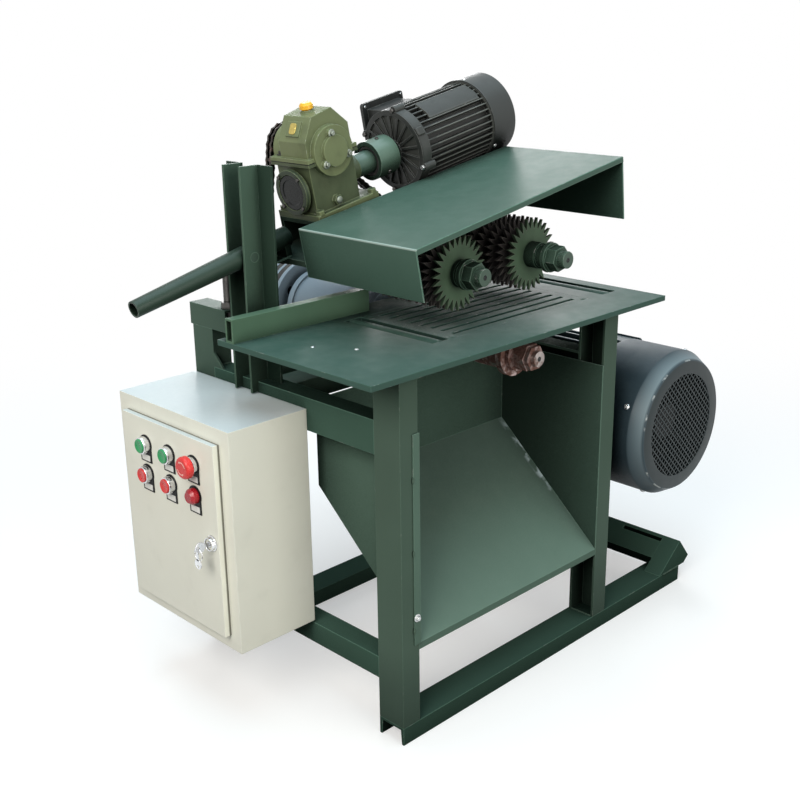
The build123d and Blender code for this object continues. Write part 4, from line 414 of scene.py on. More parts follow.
def motor_light_and_shade(surface, base):
    """Painted highlights on the feed motor's fin tips, its end shield's face painted darker, and painted shade
    on the far side of its terminal box.
    """
    along = surface.height_along(CARRIAGE_AHEAD)
    radius = surface.off_axis(lifted(0, SHAFT_Y, SHAFT_W), CARRIAGE_AHEAD)
    # Painted highlight on the fin tips.
    start = lifted(396, 0, 0).dot(CARRIAGE_AHEAD)
    tips = surface.times(surface.span(radius, 0.0690, 0.0704), surface.span(radius, 0.0722, 0.0716))
    tips = surface.times(tips, surface.span(along, start - 0.001, start + 0.001, 0.0, 0.55))
    base = surface.mix(tips, base, srgb(122, 124, 118))
    # End shield's face painted darker.
    shield = lifted(357, 0, 0).dot(CARRIAGE_AHEAD)
    base = surface.mix(surface.span(along, shield + 0.001, shield - 0.001, 0.0, 0.6), base, srgb(22, 24, 24))
    # Painted shade on the terminal box's far side.
    far_side = surface.span(surface.along("Y"), at(0, 366, 0).y, at(0, 370, 0).y, 0.0, 0.6)
    box = surface.times(surface.span(radius, 0.0735, 0.0750), far_side)
    return surface.mix(box, base, srgb(20, 22, 24))


def casting(colour, chip=BARE, oil=0.5, rim=0.35, width=0.0016, corner_shade=0.7, marks=None):
    """Painted or bare iron casting: pebbled skin, oil stains, painted shade in corners, painted highlights and
    chipped paint on edges.
    """
    surface = Surface(roughness=0.45, Specular_IOR_Level=0.3)
    edge = surface.edges(width)
    mottle = surface.span(surface.noise(0.03, 6), 0.3, 0.7)
    base = surface.mix(mottle, shade(colour, 0.86), shade(colour, 1.12))
    if marks:
        base = marks(surface, base)
    # Painted shade in corners.
    base = surface.mix(surface.times(surface.hollows(0.02), corner_shade), base, shade(colour, 0.18))
    stain = surface.span(surface.noise(0.045, 5), 0.56, 0.74, 0.0, oil)
    base = surface.mix(stain, base, shade(colour, 0.55))
    # Painted highlight along edges, as strong as rim asks.
    base = surface.mix(surface.times(edge, rim), base, shade(colour, 2.0))
    flakes = surface.times(edge, surface.span(surface.noise(0.01, 4), 0.60, 0.68))
    base = surface.mix(surface.times(flakes, 0.5), base, chip)
    skin = surface.bump(surface.noise(0.0035, 4), 0.00022)
    return surface.done(base, surface.span(surface.noise(0.015, 4), 0.3, 0.7, 0.34, 0.56), skin)


def worked_steel(colour, roughness, rust=0.0):
    """Machined steel: fine tool marks, smears of oil, painted shade in hollows and, where asked for, rust."""
    surface = Surface(metallic=1.0, roughness=roughness)
    surface.edges(0.0006)
    marks = surface.noise(0.004, 3)
    base = surface.mix(surface.span(marks, 0.3, 0.7), shade(colour, 0.84), shade(colour, 1.08))
    smear = surface.span(surface.noise(0.025, 5), 0.45, 0.75)
    base = surface.mix(surface.times(smear, 0.5), base, shade(colour, 0.42))
    # Painted shade in hollows.
    base = surface.mix(surface.times(surface.hollows(0.015), 0.7), base, shade(colour, 0.16))
    gloss = surface.span(surface.noise(0.012, 4), 0.3, 0.7, roughness - 0.08, roughness + 0.14)
    if rust:
        patch = surface.span(surface.noise(0.012, 6), 0.62 - 0.35 * rust, 0.74 - 0.30 * rust)
        grain = surface.span(surface.noise(0.004, 5), 0.3, 0.7)
        base = surface.mix(patch, base, surface.mix(grain, srgb(72, 47, 40), srgb(118, 84, 74)))
        gloss = surface.math("MAXIMUM", gloss, surface.times(patch, 0.85))
        bare = surface.math("SUBTRACT", 1.0, patch)
        surface.feed(surface.shader.inputs["Metallic"], bare)
    return surface.done(base, gloss, surface.bump(marks, 0.00005))


def moulded(colour, roughness, **constants):
    """Moulded plastic or lacquer with a faint flow pattern, painted shade in small hollows, and handling marks.
    """
    surface = Surface(roughness=roughness, **constants)
    surface.edges(0.0006)
    flow = surface.span(surface.noise(0.006, 3), 0.3, 0.7)
    base = surface.mix(flow, shade(colour, 0.92), shade(colour, 1.06))
    # Painted shade in small hollows.
    base = surface.mix(surface.times(surface.hollows(0.004), 0.5), base, shade(colour, 0.4))
    gloss = surface.span(surface.noise(0.003, 4), 0.3, 0.75, roughness - 0.06, roughness + 0.16)
    return surface.done(base, gloss, surface.bump(surface.noise(0.0012, 2), 0.00002))


def belt_rubber():
    """Black rubber with a cloth-wrapped back and grey dust."""
    surface = Surface(roughness=0.78)
    weave = surface.noise(0.0014, 2)
    base = surface.mix(surface.span(weave, 0.3, 0.7), srgb(26, 26, 27), srgb(48, 48, 48))
    grey = surface.span(surface.noise(0.02, 5), 0.45, 0.8, 0.0, 0.4)
    base = surface.mix(grey, base, srgb(104, 100, 92))
    return surface.done(base, surface.span(weave, 0.2, 0.8, 0.65, 0.9), surface.bump(weave, 0.0002))


# In these finishes rim sets the strength of the painted highlights on edges, and reach how far the enamel's
# painted shade looks for cover.
materials = {
    "frame_green": enamel(srgb(74, 93, 82), shine=0.05, marks=low_shade),
    "rail_green": enamel(srgb(67, 92, 81), shine=0.0, dust=0.0, rim=0.8, width=0.0022, marks=low_shade),
    "post_green": enamel(srgb(72, 93, 80), shine=0.06, marks=flange_shade),
    "lever_green": enamel(srgb(46, 62, 53), shine=0.22, matt=0.34),
    # A lighter copy of the frame's paint: painted light for the fence, which sits in the hood's shade.
    "fence_green": enamel(srgb(79, 105, 86), shine=0.06, reach=0.04),
    "sheet_green": enamel(
        srgb(71, 96, 85), wave=0.001, matt=0.4, rim=0.9, width=0.003, reach=0.3, marks=fold_highlight,
    ),
    # A lighter copy of the frame's paint: painted light for the chute under the table, with painted shade
    # reaching far round it.
    "chute_green": enamel(srgb(88, 112, 100), wave=0.001, shine=0.06, reach=0.5, marks=floor_light_and_scuffs),
    "table_green": enamel(srgb(62, 87, 79), edge_wear=0.5, dust=0.06, matt=0.46, shine=0.06),
    "roller_green": spiked(srgb(78, 99, 79)),
    "nut_green": enamel(srgb(64, 84, 72), edge_wear=0.9, matt=0.34, shine=0.35, rim=0.9),
    "coupling_green": enamel(srgb(90, 114, 100), matt=0.30, shine=0.5),
    "reducer_green": casting(srgb(90, 100, 72), rim=0.6, width=0.0022, marks=reducer_light_and_shade),
    "motor_blue_grey": enamel(srgb(60, 73, 77), shine=0.4),
    "cover_blue_grey": enamel(srgb(49, 63, 70), shine=0.3, marks=cover_light_and_chips),
    "motor_black": casting(
        srgb(60, 62, 60), srgb(150, 152, 148), oil=0.2, rim=0.9, corner_shade=1.0, marks=motor_light_and_shade,
    ),
    "fan_black": moulded(srgb(24, 25, 26), 0.5),
    "cover_black": enamel(srgb(54, 57, 56), srgb(150, 150, 148), matt=0.34, shine=0.35),
    "housing_blue": enamel(srgb(126, 142, 154), matt=0.34, shine=0.4),
    "cast_grey": casting(srgb(84, 86, 86)),
    "cabinet_grey": powder_coat(srgb(231, 231, 219)),
    "door_grey": powder_coat(srgb(231, 231, 219), door_gap),
    "worn_steel": worked_steel(srgb(170, 160, 156), 0.40, rust=0.3),
    "rusty_steel": worked_steel(srgb(176, 156, 152), 0.42, rust=0.75),
    "dark_steel": worked_steel(srgb(92, 90, 88), 0.40),
    "oiled_chain": worked_steel(srgb(70, 66, 62), 0.36, rust=0.15),
    "dull_steel": worked_steel(srgb(142, 148, 138), 0.48),
    "zinc": worked_steel(srgb(204, 206, 206), 0.26),
    "chrome": worked_steel(srgb(228, 228, 230), 0.14),
    "brass": worked_steel(srgb(196, 178, 104), 0.36),
    "belt_rubber": belt_rubber(),
    "yellow_cap": moulded(srgb(236, 176, 40), 0.3),
    "green_button": moulded(srgb(28, 146, 84), 0.3),
    "red_button": moulded(srgb(212, 46, 44), 0.28),
    "red_lens": moulded(srgb(196, 24, 40), 0.16, Transmission_Weight=0.35),
    "black_tag": moulded(srgb(17, 17, 19), 0.42, Specular_IOR_Level=0.15),
    "black_plug": moulded(srgb(20, 24, 23), 0.26, Specular_IOR_Level=0.25),
    "white_label": moulded(srgb(228, 228, 224), 0.5),
    "pale_mark": moulded(srgb(246, 196, 184), 0.4),
}
for name, material in materials.items():
    material.name = name

NODE_FINISH = {
    "frame_green": (
        "leg_front_near", "leg_front_far", "leg_rear_near", "leg_rear_far", "inner_beams", "pivot_pin",
        "stop_bar", "drive_base", "carriage_plate", "motor_base",
    ),
    "rail_green": ("bottom_rail_near", "bottom_rail_far", "front_rails", "rear_low_rail", "outrigger"),
    "post_green": ("column_near", "column_far"),
    "lever_green": ("lift_lever",),
    "fence_green": ("fence",),
    "sheet_green": ("feed_hood",),
    "chute_green": ("hopper",),
    "table_green": ("table_plate", "throat_insert", "infeed_idler", "outfeed_idler"),
    "roller_green": ("infeed_roller", "outfeed_roller"),
    "nut_green": ("infeed_roller_shaft", "outfeed_roller_shaft"),
    "coupling_green": ("feed_coupling",),
    "reducer_green": ("reducer_case",),
    "motor_blue_grey": ("motor_body", "motor_fan_cover"),
    "motor_black": ("feed_motor_body",),
    "cover_black": ("feed_fan_cover",),
    "housing_blue": ("spindle_housing", "arbor_pulley"),
    "cast_grey": ("roller_bearings", "motor_pulley"),
    "cabinet_grey": ("cabinet_box",),
    "door_grey": ("cabinet_door",),
    "worn_steel": ("arbor_shaft",),
    "fan_black": ("motor_rotor",),
    "rusty_steel": ("arbor_nuts", "arbor_collars"),
    "dark_steel": ("stop_rod",),
    "oiled_chain": ("feed_chain", "drive_sprocket", "chain_idler"),
    "chrome": ("button_collars", "door_key"),
    "belt_rubber": ("drive_belts",),
    "yellow_cap": ("reducer_breather",),
    "green_button": ("start_button_a", "start_button_b"),
    "red_button": ("stop_button_a", "stop_button_b", "estop_button"),
    "red_lens": ("pilot_lamp",),
    "black_tag": ("legend_plates",),
}
for finish, names in NODE_FINISH.items():
    for name in names:
        nodes[name].data.materials.clear()
        nodes[name].data.materials.append(materials[finish])


CENTRE_HOLE = ((0, 0.1), (2, 0.1), (2.4, 0.4), (3.8, 0.4), (4.2, 0.1), (4.2, -0.4), (0, -0.4))


def facing(point, direction):
    """A place at this point whose Z axis runs along the direction."""
    return Matrix.Translation(point) @ Vector(direction).to_track_quat("Z", "Y").to_matrix().to_4x4()


def plane(point, across, out):
    """A place at this point with its X axis across and its Z axis pointing out."""
    across, out = Vector(across).normalized(), Vector(out).normalized()
    return Matrix.Translation(point) @ Matrix((across, out.cross(across), out)).transposed().to_4x4()


def raised(place, height):
    """The place moved along its own Z axis."""
    return place @ Matrix.Translation((0, 0, height * MM))


def polar(radius, angle):
    return radius * cos(angle), radius * sin(angle)


def circle(radius, steps):
    """Points spaced evenly round a circle."""
    return [polar(radius, 2 * pi * i / steps) for i in range(steps)]


def rounded_outline(width, height, radius):
    """Corner points of a rectangle with rounded corners."""
    steps = 4
    points = []
    for k, (x, y) in enumerate(((1, 1), (-1, 1), (-1, -1), (1, -1))):
        for i in range(steps + 1):
            dx, dy = polar(radius, (k + i / steps) * pi / 2)
            points.append((x * (width / 2 - radius) + dx, y * (height / 2 - radius) + dy))
    return points


class Shape:
    """A mesh under construction: solids in millimetres added at given places, then made into one piece."""

    def __init__(self):
        self.mesh = bmesh.new()

    def point(self, place, x, y, z):
        return self.mesh.verts.new(place @ (Vector((x, y, z)) * MM))

    def skin(self, rings, closed=False):
        """Faces between neighbouring rings of points; a ring may be a single point."""
        pairs = list(zip(rings, rings[1:]))
        if closed:
            pairs.append((rings[-1], rings[0]))
        steps = max(len(ring) for ring in rings)
        for first, second in pairs:
            for i in range(steps):
                j = (i + 1) % steps
                lower = [first[i % len(first)], first[j % len(first)]]
                upper = [second[j % len(second)], second[i % len(second)]]
                self.mesh.faces.new(list(dict.fromkeys(lower + upper)))

    def lathe(self, place, profile, steps=24, closed=False):
        """Turned solid about the place's Z axis, from (radius, height) points."""
        rings = []
        for radius, height in profile:
            outline = circle(radius, steps if radius > 0 else 1)
            rings.append([self.point(place, x, y, height) for x, y in outline])
        self.skin(rings, closed)

    def prism(self, place, outline, *levels):
        """Solid raised from an outline in the place's XY plane through levels, each a height and a scale."""
        rings = []
        for height, scale in ((0, 1), *levels):
            rings.append([self.point(place, x * scale, y * scale, height) for x, y in outline])
        self.mesh.faces.new(rings[0])
        self.mesh.faces.new(rings[-1])
        self.skin(rings)

    def bar(self, place, length, width, depth):
        """Block centred on the place, standing on its XY plane."""
        x, y = length / 2, width / 2
        self.prism(place, ((-x, -y), (x, -y), (x, y), (-x, y)), (depth, 1))

    def plate(self, place, width, height, depth, radius):
        """Thin plate with rounded corners and a bevelled upper edge."""
        bevelled = 1 - 0.6 * depth / max(width, height)
        self.prism(place, rounded_outline(width, height, radius), (0.7 * depth, 1), (depth, bevelled))

    def tube(self, points, radius, steps):
        """Round wire along a list of points."""
        rings = []
        last = len(points) - 1
        for i, point in enumerate(points):
            place = facing(point, points[min(i + 1, last)] - points[max(i - 1, 0)])
            rings.append([self.point(place, x, y, 0) for x, y in circle(radius, steps)])
        self.mesh.faces.new(rings[0])
        self.mesh.faces.new(rings[-1])
        self.skin(rings)

    def bolt(self, place, flats, washer=True):
        """Hexagon head with a chamfered top, on a washer."""
        base = 0.0
        if washer:
            base = 0.14 * flats
            rim = 0.95 * flats
            self.lathe(place, ((0, 0), (rim, 0), (rim, 0.7 * base), (0.92 * rim, base), (0, base)), 20)
        corner = flats / 2 / cos(pi / 6)
        self.prism(raised(place, base), circle(corner, 6), (0.5 * flats, 1), (0.6 * flats, 0.84))

    def screw(self, place, radius):
        """Domed head with a cross on top."""
        dome = [(radius * cos(a), 0.45 * radius * sin(a)) for a in (0, pi / 8, pi / 4, 3 * pi / 8)]
        self.lathe(place, [(0, -0.2 * radius), (radius, -0.2 * radius), *dome, (0, 0.45 * radius)], 18)
        for turn in (0, pi / 2):
            top = raised(place, 0.40 * radius) @ Matrix.Rotation(turn, 4, "Z")
            self.bar(top, 1.1 * radius, 0.2 * radius, 0.09 * radius)

    def flat_screw(self, place, radius):
        """Countersunk head with a small dimple, just proud of the plate."""
        inner = 0.3 * radius
        dimple = ((0, 0.1), (inner, 0.1), (inner + 0.2, 0.35))
        self.lathe(place, (*dimple, (radius - 0.5, 0.35), (radius, 0.1), (radius, -0.5), (0, -0.5)), 20)

    def socket_screw(self, place, radius):
        """Round head with a socket sunk into it."""
        rim = 0.9 * radius
        socket = ((0, 0.3 * rim), (0.55 * radius, 0.3 * rim), (0.6 * radius, rim))
        self.lathe(place, (*socket, (0.92 * radius, rim), (radius, 0.8 * rim), (radius, 0), (0, 0)), 18)

    def bead(self, start, end, radius):
        """Weld bead: a row of flattened, overlapping ripples."""
        count = max(2, round((end - start).length / (0.9 * radius * MM)))
        for i in range(count):
            centre = start.lerp(end, (i + 0.5) / count)
            size = radius * dice.uniform(0.85, 1.15)
            half = [(size * sin(pi * k / 5), -0.9 * size * cos(pi * k / 5)) for k in range(1, 5)]
            self.lathe(facing(centre, end - start), [(0, -0.9 * size), *half, (0, 0.9 * size)], 8)

    def into(self, name, body, finish, smooth=35):
        """The finished piece, riding on a body."""
        bmesh.ops.recalc_face_normals(self.mesh, faces=self.mesh.faces)
        mesh = bpy.data.meshes.new(name)
        self.mesh.to_mesh(mesh)
        self.mesh.free()
        mesh.shade_smooth()
        mesh.set_sharp_from_angle(angle=radians(smooth))
        mesh.materials.append(materials[finish])
        piece = bpy.data.objects.new(name, mesh)
        bpy.context.scene.collection.objects.link(piece)
        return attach(piece, body)


def main_motor():
    """Pressed fan cover with a fine diamond mesh, its screws, the foot bolts and the terminal box lid."""
    front = -35
    depth = 137
    outside = 140
    inside = 138
    sheet = 2
    mesh_radius = 99
    pitch = 9.2
    strand = 2.5
    face = facing(at(MOTOR_X, front, MOTOR_Z), FAR)
    shell = (
        (mesh_radius, 0), (123.6, 0), (124.9, 0.7), (125.8, 2.1), (139.3, 24.8), (139.8, 26), (outside, 28),
        (outside, depth), (inside, depth), (inside, 28), (124, 4.4), (122.6, sheet), (mesh_radius, sheet),
    )
    cover = Shape()
    cover.lathe(face, shell, 128, closed=True)
    strips = int(mesh_radius / pitch)
    for turn, height in ((pi / 4, 0.3), (-pi / 4, 0.9)):
        for i in range(-strips, strips + 1):
            offset = i * pitch
            length = 2 * sqrt(mesh_radius ** 2 - offset ** 2) + strand
            strip = face @ Matrix.Rotation(turn, 4, "Z") @ Matrix.Translation((0, offset * MM, height * MM))
            cover.bar(strip, length, strand, 0.9)
    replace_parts(cover.into("fan_cover", "frame", "cover_blue_grey"), "motor_fan_cover")

    fixings = Shape()
    for i in range(4):
        across, rise = polar(outside, radians(155 + 90 * i))
        fixings.screw(facing(at(MOTOR_X + across, 3, MOTOR_Z + rise), (across, 0, rise)), 5.5)
    foot_top = 250
    for side in (-92, 92):
        for y in (185, 335):
            fixings.bolt(facing(at(MOTOR_X + side, y, foot_top), UP), 17)
    box_x = 885
    box_y = 235
    box_z = 408
    lid_thickness = 2.5
    for y in (box_y - 45, box_y + 45):
        for z in (box_z - 40, box_z + 40):
            fixings.screw(facing(at(box_x + lid_thickness, y, z), REAR), 4)
    fixings.into("motor_fixings", "frame", "zinc")
    lid = Shape()
    lid.plate(plane(at(box_x, box_y, box_z), FAR, REAR), 116, 106, lid_thickness, 7)
    lid.into("motor_box_lid", "frame", "motor_blue_grey")


def spindle():
    """Socket screws round both end caps of the arbor housing."""
    screw_circle = 57
    screws = Shape()
    for y, way in ((336, NEAR), (556, FAR)):
        for i in range(6):
            across, rise = polar(screw_circle, radians(30 + 60 * i))
            screws.socket_screw(facing(at(ARBOR_X + across, y, ARBOR_Z + rise), way), 5)
    screws.into("spindle_screws", "frame", "dark_steel")


def welds():
    """Beads where rails, columns, arms and stubs are joined, painted over with the rest."""
    fillet = 2.4
    heavy = 2.6
    bottom_rail = 31
    low_rail = 140
    motor_rail = 226
    top_rail = 540
    front_leg = 37
    rear_leg = 500
    beads = Shape()
    for y in (55, 452):
        for x, z in ((4, low_rail), (3, top_rail)):
            beads.bead(at(x, y, z), at(x + 33, y, z), fillet)
        for z in (motor_rail, top_rail):
            beads.bead(at(rear_leg, y, z), at(rear_leg + 34, y, z), fillet)
    for x in (front_leg, rear_leg):
        for y in (5, 457):
            beads.bead(at(x, y, bottom_rail), at(x, y + 45, bottom_rail), fillet)
    for y in (0.5, 506.5):
        beads.bead(at(736, y, bottom_rail), at(792, y, bottom_rail), heavy)
    for y in (300, 376):
        beads.bead(at(24, y, top_rail), at(24, y + 30, top_rail), fillet)
    for y in (161, 193, 327, 359):
        beads.bead(at(545, y, 176), at(545, y, 222), heavy)
    for z in (198, 330, 451):
        beads.bead(at(25, -1.5, z - 4), at(25, -1.5, z + 4), 2.0)
    beads.into("frame_welds", "frame", "frame_green", 60)
    plate_top = -28
    beads = Shape()
    for y in (300, 404):
        beads.bead(lifted(122, y, plate_top), lifted(254, y, plate_top), fillet)
    for y in (339.5, 366.5):
        beads.bead(lifted(6, y, plate_top), lifted(80, y, plate_top), 2.2)
    beads.into("carriage_welds", "carriage", "frame_green", 60)


def table():
    """Countersunk screws in the throat insert, bright ones in the table and a bolt in the chute's flange."""
    painted = Shape()
    for x in (172, 508):
        for y in (57, 243):
            painted.flat_screw(facing(at(x, y, TABLE_TOP), UP), 4.9)
    painted.into("insert_screws", "frame", "table_green")
    bright = Shape()
    for x, y in ((-14.4, 171), (21.6, 111.8)):
        bright.screw(facing(at(x, y, TABLE_TOP), UP), 3.4)
    bright.bolt(facing(at(31, -2, 219), NEAR), 7)
    bright.into("table_screws", "frame", "zinc")


def stop_thread():
    """Thread on the stop rod above its nut."""
    rod_x = 19
    rod_y = 426
    nut_top = 658
    turns = 27
    pitch = 2.0
    steps = 16
    points = []
    for i in range(turns * steps):
        across, along = polar(7.5, 2 * pi * i / steps)
        points.append(at(rod_x + across, rod_y + along, nut_top + pitch * i / steps))
    thread = Shape()
    thread.tube(points, 0.7, 6)
    thread.into("stop_rod_thread", "frame", "dark_steel", 60)


def reducer():
    """Cap bolts, the split line, plugs in the worm cap and the drain, and a blank plate on the upper pad."""
    wheel_u = 176
    wheel_w = 124
    bolts = Shape()
    for i in range(4):
        across, rise = polar(34, radians(45 + 90 * i))
        place = lifted(114, SHAFT_Y + across, SHAFT_W + rise)
        bolts.bolt(facing(place, CARRIAGE_BACK), 6, washer=False)
    for u in (wheel_u - 36, wheel_u, wheel_u + 36):
        bolts.bolt(facing(lifted(u, 389, 122), CARRIAGE_UP), 10)
    bolts.into("reducer_bolts", "carriage", "dark_steel")
    bright = Shape()
    for i in range(3):
        across, rise = polar(29, radians(95 + 120 * i))
        bright.bolt(facing(lifted(wheel_u + across, 295, wheel_w + rise), NEAR), 7)
    drain_plug = ((0, 0), (6, 0), (6, 1.6), (5, 2.8), (3, 3.4), (0, 3.4))
    bright.lathe(facing(lifted(172, 304, 42), NEAR), drain_plug)
    bright.into("reducer_screws", "carriage", "dull_steel")
    gasket = Shape()
    split = plane(lifted(wheel_u, SHAFT_Y, 114.6), CARRIAGE_AHEAD, CARRIAGE_UP)
    gasket.plate(split, 108.9, 96.9, 1.1, 1.0)
    gasket.into("reducer_gasket", "carriage", "black_tag")
    plug = Shape()
    dish = ((0, 0), (29.6, 0), (29.6, 1.6), (28.6, 2.4), (22, 2.4), (20.5, 1.3), (0, 1.3))
    plug.lathe(facing(lifted(117, SHAFT_Y, SHAFT_W), CARRIAGE_BACK), dish, 40)
    plug.into("worm_cap_plug", "carriage", "black_plug")
    badge = Shape()
    thickness = 1.0
    pad = plane(lifted(136.4, 343.5, 167.6), NEAR, lean(-0.853, 0, 0.521))
    badge.plate(pad, 15, 18, thickness, 4)
    for side in (-4.6, 4.6):
        rivet = pad @ Matrix.Translation((side * MM, 0, thickness * MM))
        badge.lathe(rivet, ((0, 0), (1.3, 0), (1, 0.5), (0, 0.7)), 10)
    badge.into("blank_plate", "carriage", "brass")


def feed_motor():
    """Shield lugs and bolts, a flat pad on the barrel, cover and terminal box screws, and a blanked gland."""
    lugs = Shape()
    dark = Shape()
    bright = Shape()
    ear = ((0, 0), (6.4, 0), (7.2, 0.8), (7.2, 24), (6.4, 25), (0, 25))
    for angle, bolts in ((20, dark), (100, dark), (200, bright), (280, dark)):
        across, rise = polar(72, radians(angle))
        place = lifted(355, SHAFT_Y + across, SHAFT_W + rise)
        lugs.lathe(facing(place, CARRIAGE_AHEAD), ear, 20)
        bolts.bolt(facing(place, CARRIAGE_BACK), 8, washer=False)
    across, rise = polar(69, radians(150))
    place = lifted(364, SHAFT_Y + across, SHAFT_W + rise)
    lugs.plate(plane(place, CARRIAGE_AHEAD, lean(0, across, rise)), 17, 15, 5.5, 1.5)
    barrel = plane(lifted(402, SHAFT_Y, SHAFT_W), FAR, CARRIAGE_AHEAD)
    corners = ((62, 140), (72, 138), (73.5, 128), (73.5, 108), (62, 106))
    lugs.prism(barrel, [polar(radius, radians(angle)) for radius, angle in corners], (130, 1))
    gland = facing(lifted(425, 428, 47), lean(0, 0, -1))
    nut_height = 5
    lugs.prism(gland, circle(8.4, 6), (nut_height, 1))
    blank = ((0, 0), (7, 0), (7, 5), (6, 8), (4.5, 9), (0, 9))
    lugs.lathe(raised(gland, nut_height), blank, 20)
    lugs.into("feed_motor_lugs", "carriage", "motor_black")
    for i in range(3):
        across, rise = polar(76, radians(95 + 120 * i))
        place = lifted(548, SHAFT_Y + across, SHAFT_W + rise)
        bright.screw(facing(place, lean(0, across, rise)), 4)
    screw_end = ((0, 0), (2.6, 0), (2.6, 2), (2, 2.6), (0, 2.6))
    for u in (379, 471):
        for w in (41, 133):
            bright.screw(facing(lifted(u, 443, w), FAR), 3.4)
            bright.lathe(facing(lifted(u, 437, w), NEAR), screw_end, 12)
    bright.into("feed_motor_screws", "carriage", "zinc")
    dark.into("feed_motor_bolts", "carriage", "dark_steel")


def coupling():
    """Rubber insert in the coupling's dished face and its set screws."""
    insert = Shape()
    ring = ((20.6, 0), (26.6, 0), (26.6, 3), (25.4, 4), (21.8, 4), (20.6, 3))
    insert.lathe(facing(lifted(295, SHAFT_Y, SHAFT_W), CARRIAGE_BACK), ring, 40, closed=True)
    insert.into("coupling_insert", "coupling", "belt_rubber")
    screws = Shape()
    for angle in (100, 220, 340):
        across, rise = polar(33, radians(angle))
        place = lifted(313, SHAFT_Y + across, SHAFT_W + rise)
        screws.socket_screw(facing(place, lean(0, across, rise)), 3.4)
    screws.into("coupling_screws", "coupling", "dark_steel")


def door():
    """Blank labels on the legend tags, bezels and flat caps of the push-buttons, and a lock rosette."""
    labels = Shape()
    for y in (*BUTTON_COLUMNS, THIRD_COLUMN):
        for z in BUTTON_ROWS:
            labels.plate(plane(at(TAG_X, y, z - 22.5), NEAR, FRONT), 23, 10, 0.5, 1.2)
    labels.into("blank_labels", "door", "white_label")
    bezels = Shape()
    outside = 14.4
    bezel = ((11.95, 0), (outside, 0), (outside, 8), (13.9, 10.3), (13.1, 11), (11.95, 11))
    cap = (
        (0, -5.4), (8.9, -5.4), (8.9, 8), (11.7, 8), (11.7, 12.4), (11.4, 13), (10.8, 13.2), (9.4, 13.1),
        (8.8, 12.7), (0, 12.5),
    )
    for colour, name, z in zip(("green", "red"), ("start", "stop"), BUTTON_ROWS):
        for letter, y in zip("ab", BUTTON_COLUMNS):
            seat = facing(at(TAG_X, y, z), FRONT)
            bezels.lathe(seat, bezel, 40, closed=True)
            button = Shape()
            button.lathe(seat, cap, 40)
            body = f"{name}_button_{letter}"
            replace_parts(button.into(f"{name}_cap_{letter}", body, f"{colour}_button"), body)
    collar = ((9.1, 0), (outside, 0), (outside, 6.4), (13.8, 7), (9.1, 7))
    bezels.lathe(facing(at(TAG_X, THIRD_COLUMN, BUTTON_ROWS[0]), FRONT), collar, 40, closed=True)
    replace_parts(bezels.into("button_bezels", "door", "chrome"), "button_collars")
    lock = Shape()
    rosette = ((9.1, 0), (13, 0), (13, 1.4), (11.4, 2.4), (11.2, 7), (10.6, 8), (9.6, 8), (9.1, 7.4))
    lock.lathe(facing(at(-165.5, LOCK_Y, 331), FRONT), rosette, 36, closed=True)
    lock.into("lock_rosette", "door", "chrome")


def shaft_ends():
    """Threads on the ends of the roller shafts, and black discs painted as the shade in the centre holes of
    those shafts and the arbor.
    """
    turns = 5
    pitch = 2.4
    steps = 16
    for body in ("infeed_roller", "outfeed_roller"):
        low, high = (Vector(corner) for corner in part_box(f"{body}_shaft"))
        end = Vector(((low.x + high.x) / 2, low.y, (low.z + high.z) / 2))
        points = []
        for i in range(turns * steps):
            across, rise = polar(14, 2 * pi * i / steps)
            points.append(end + Vector((across, 1.2 + pitch * i / steps, rise)) * MM)
        thread = Shape()
        thread.tube(points, 0.8, 6)
        thread.into(f"{body}_thread", body, "nut_green", 60)
        # Black disc: painted shade of the centre hole.
        hole = Shape()
        hole.lathe(facing(end, NEAR), CENTRE_HOLE)
        hole.into(f"{body}_centre", body, "black_plug")
    # Black disc: painted shade of the arbor's centre hole.
    hole = Shape()
    hole.lathe(facing(at(ARBOR_X, -4, ARBOR_Z), NEAR), CENTRE_HOLE)
    hole.into("arbor_centre", "arbor", "black_plug")


def spare_key():
    """Split ring through the key's bow with a second key hanging from it."""
    centre = at(-192.5, LOCK_Y, 321)
    turns = 2
    steps = 24
    split = 0.3
    points = []
    for i in range(turns * steps + 1):
        across = split * i / steps - split / 2
        points.append(centre + Vector((across, *polar(10, 2 * pi * i / steps + pi / 2))) * MM)
    ring = Shape()
    ring.tube(points, 0.8, 8)
    ring.into("key_ring", "door_key", "chrome", 60)
    key = Shape()
    bow = plane(at(-193.2, LOCK_Y, 305), FAR, FRONT)
    thickness = 1.8
    rim = circle(8.5, 20)
    hole = [(x, y + 4.2) for x, y in circle(2.6, 20)]
    rings = []
    for outline, height in ((rim, 0), (rim, thickness), (hole, thickness), (hole, 0)):
        rings.append([key.point(bow, x, y, height) for x, y in outline])
    key.skin(rings, closed=True)
    blade = (
        (-3, -6), (3, -6), (3, -27), (1.6, -30), (-1, -30), (-3, -27), (-1.4, -24), (-3, -21), (-1.6, -17),
    )
    key.prism(bow, blade, (thickness, 1))
    key.into("second_key", "door_key", "chrome")


def stop_marks():
    """Two raised arrows round the emergency stop that show which way it turns."""
    marks = Shape()
    face = plane(at(-188.3, THIRD_COLUMN, BUTTON_ROWS[0]), NEAR, FRONT)
    height = 0.25
    for first in (0.3, 0.3 + pi):
        angles = [first + 0.14 * i for i in range(12)]
        inner = [polar(9.4, angle) for angle in angles]
        outer = [polar(10.8, angle) for angle in angles]
        marks.prism(face, inner + outer[::-1], (height, 1))
        tip = angles[-1]
        marks.prism(face, (polar(8, tip), polar(12.2, tip), polar(10.1, tip + 0.36)), (height, 1))
    marks.into("turn_arrows", "estop_button", "pale_mark")


main_motor()
spindle()
welds()
table()
stop_thread()
reducer()
feed_motor()
coupling()
shaft_ends()
door()
spare_key()
stop_marks()


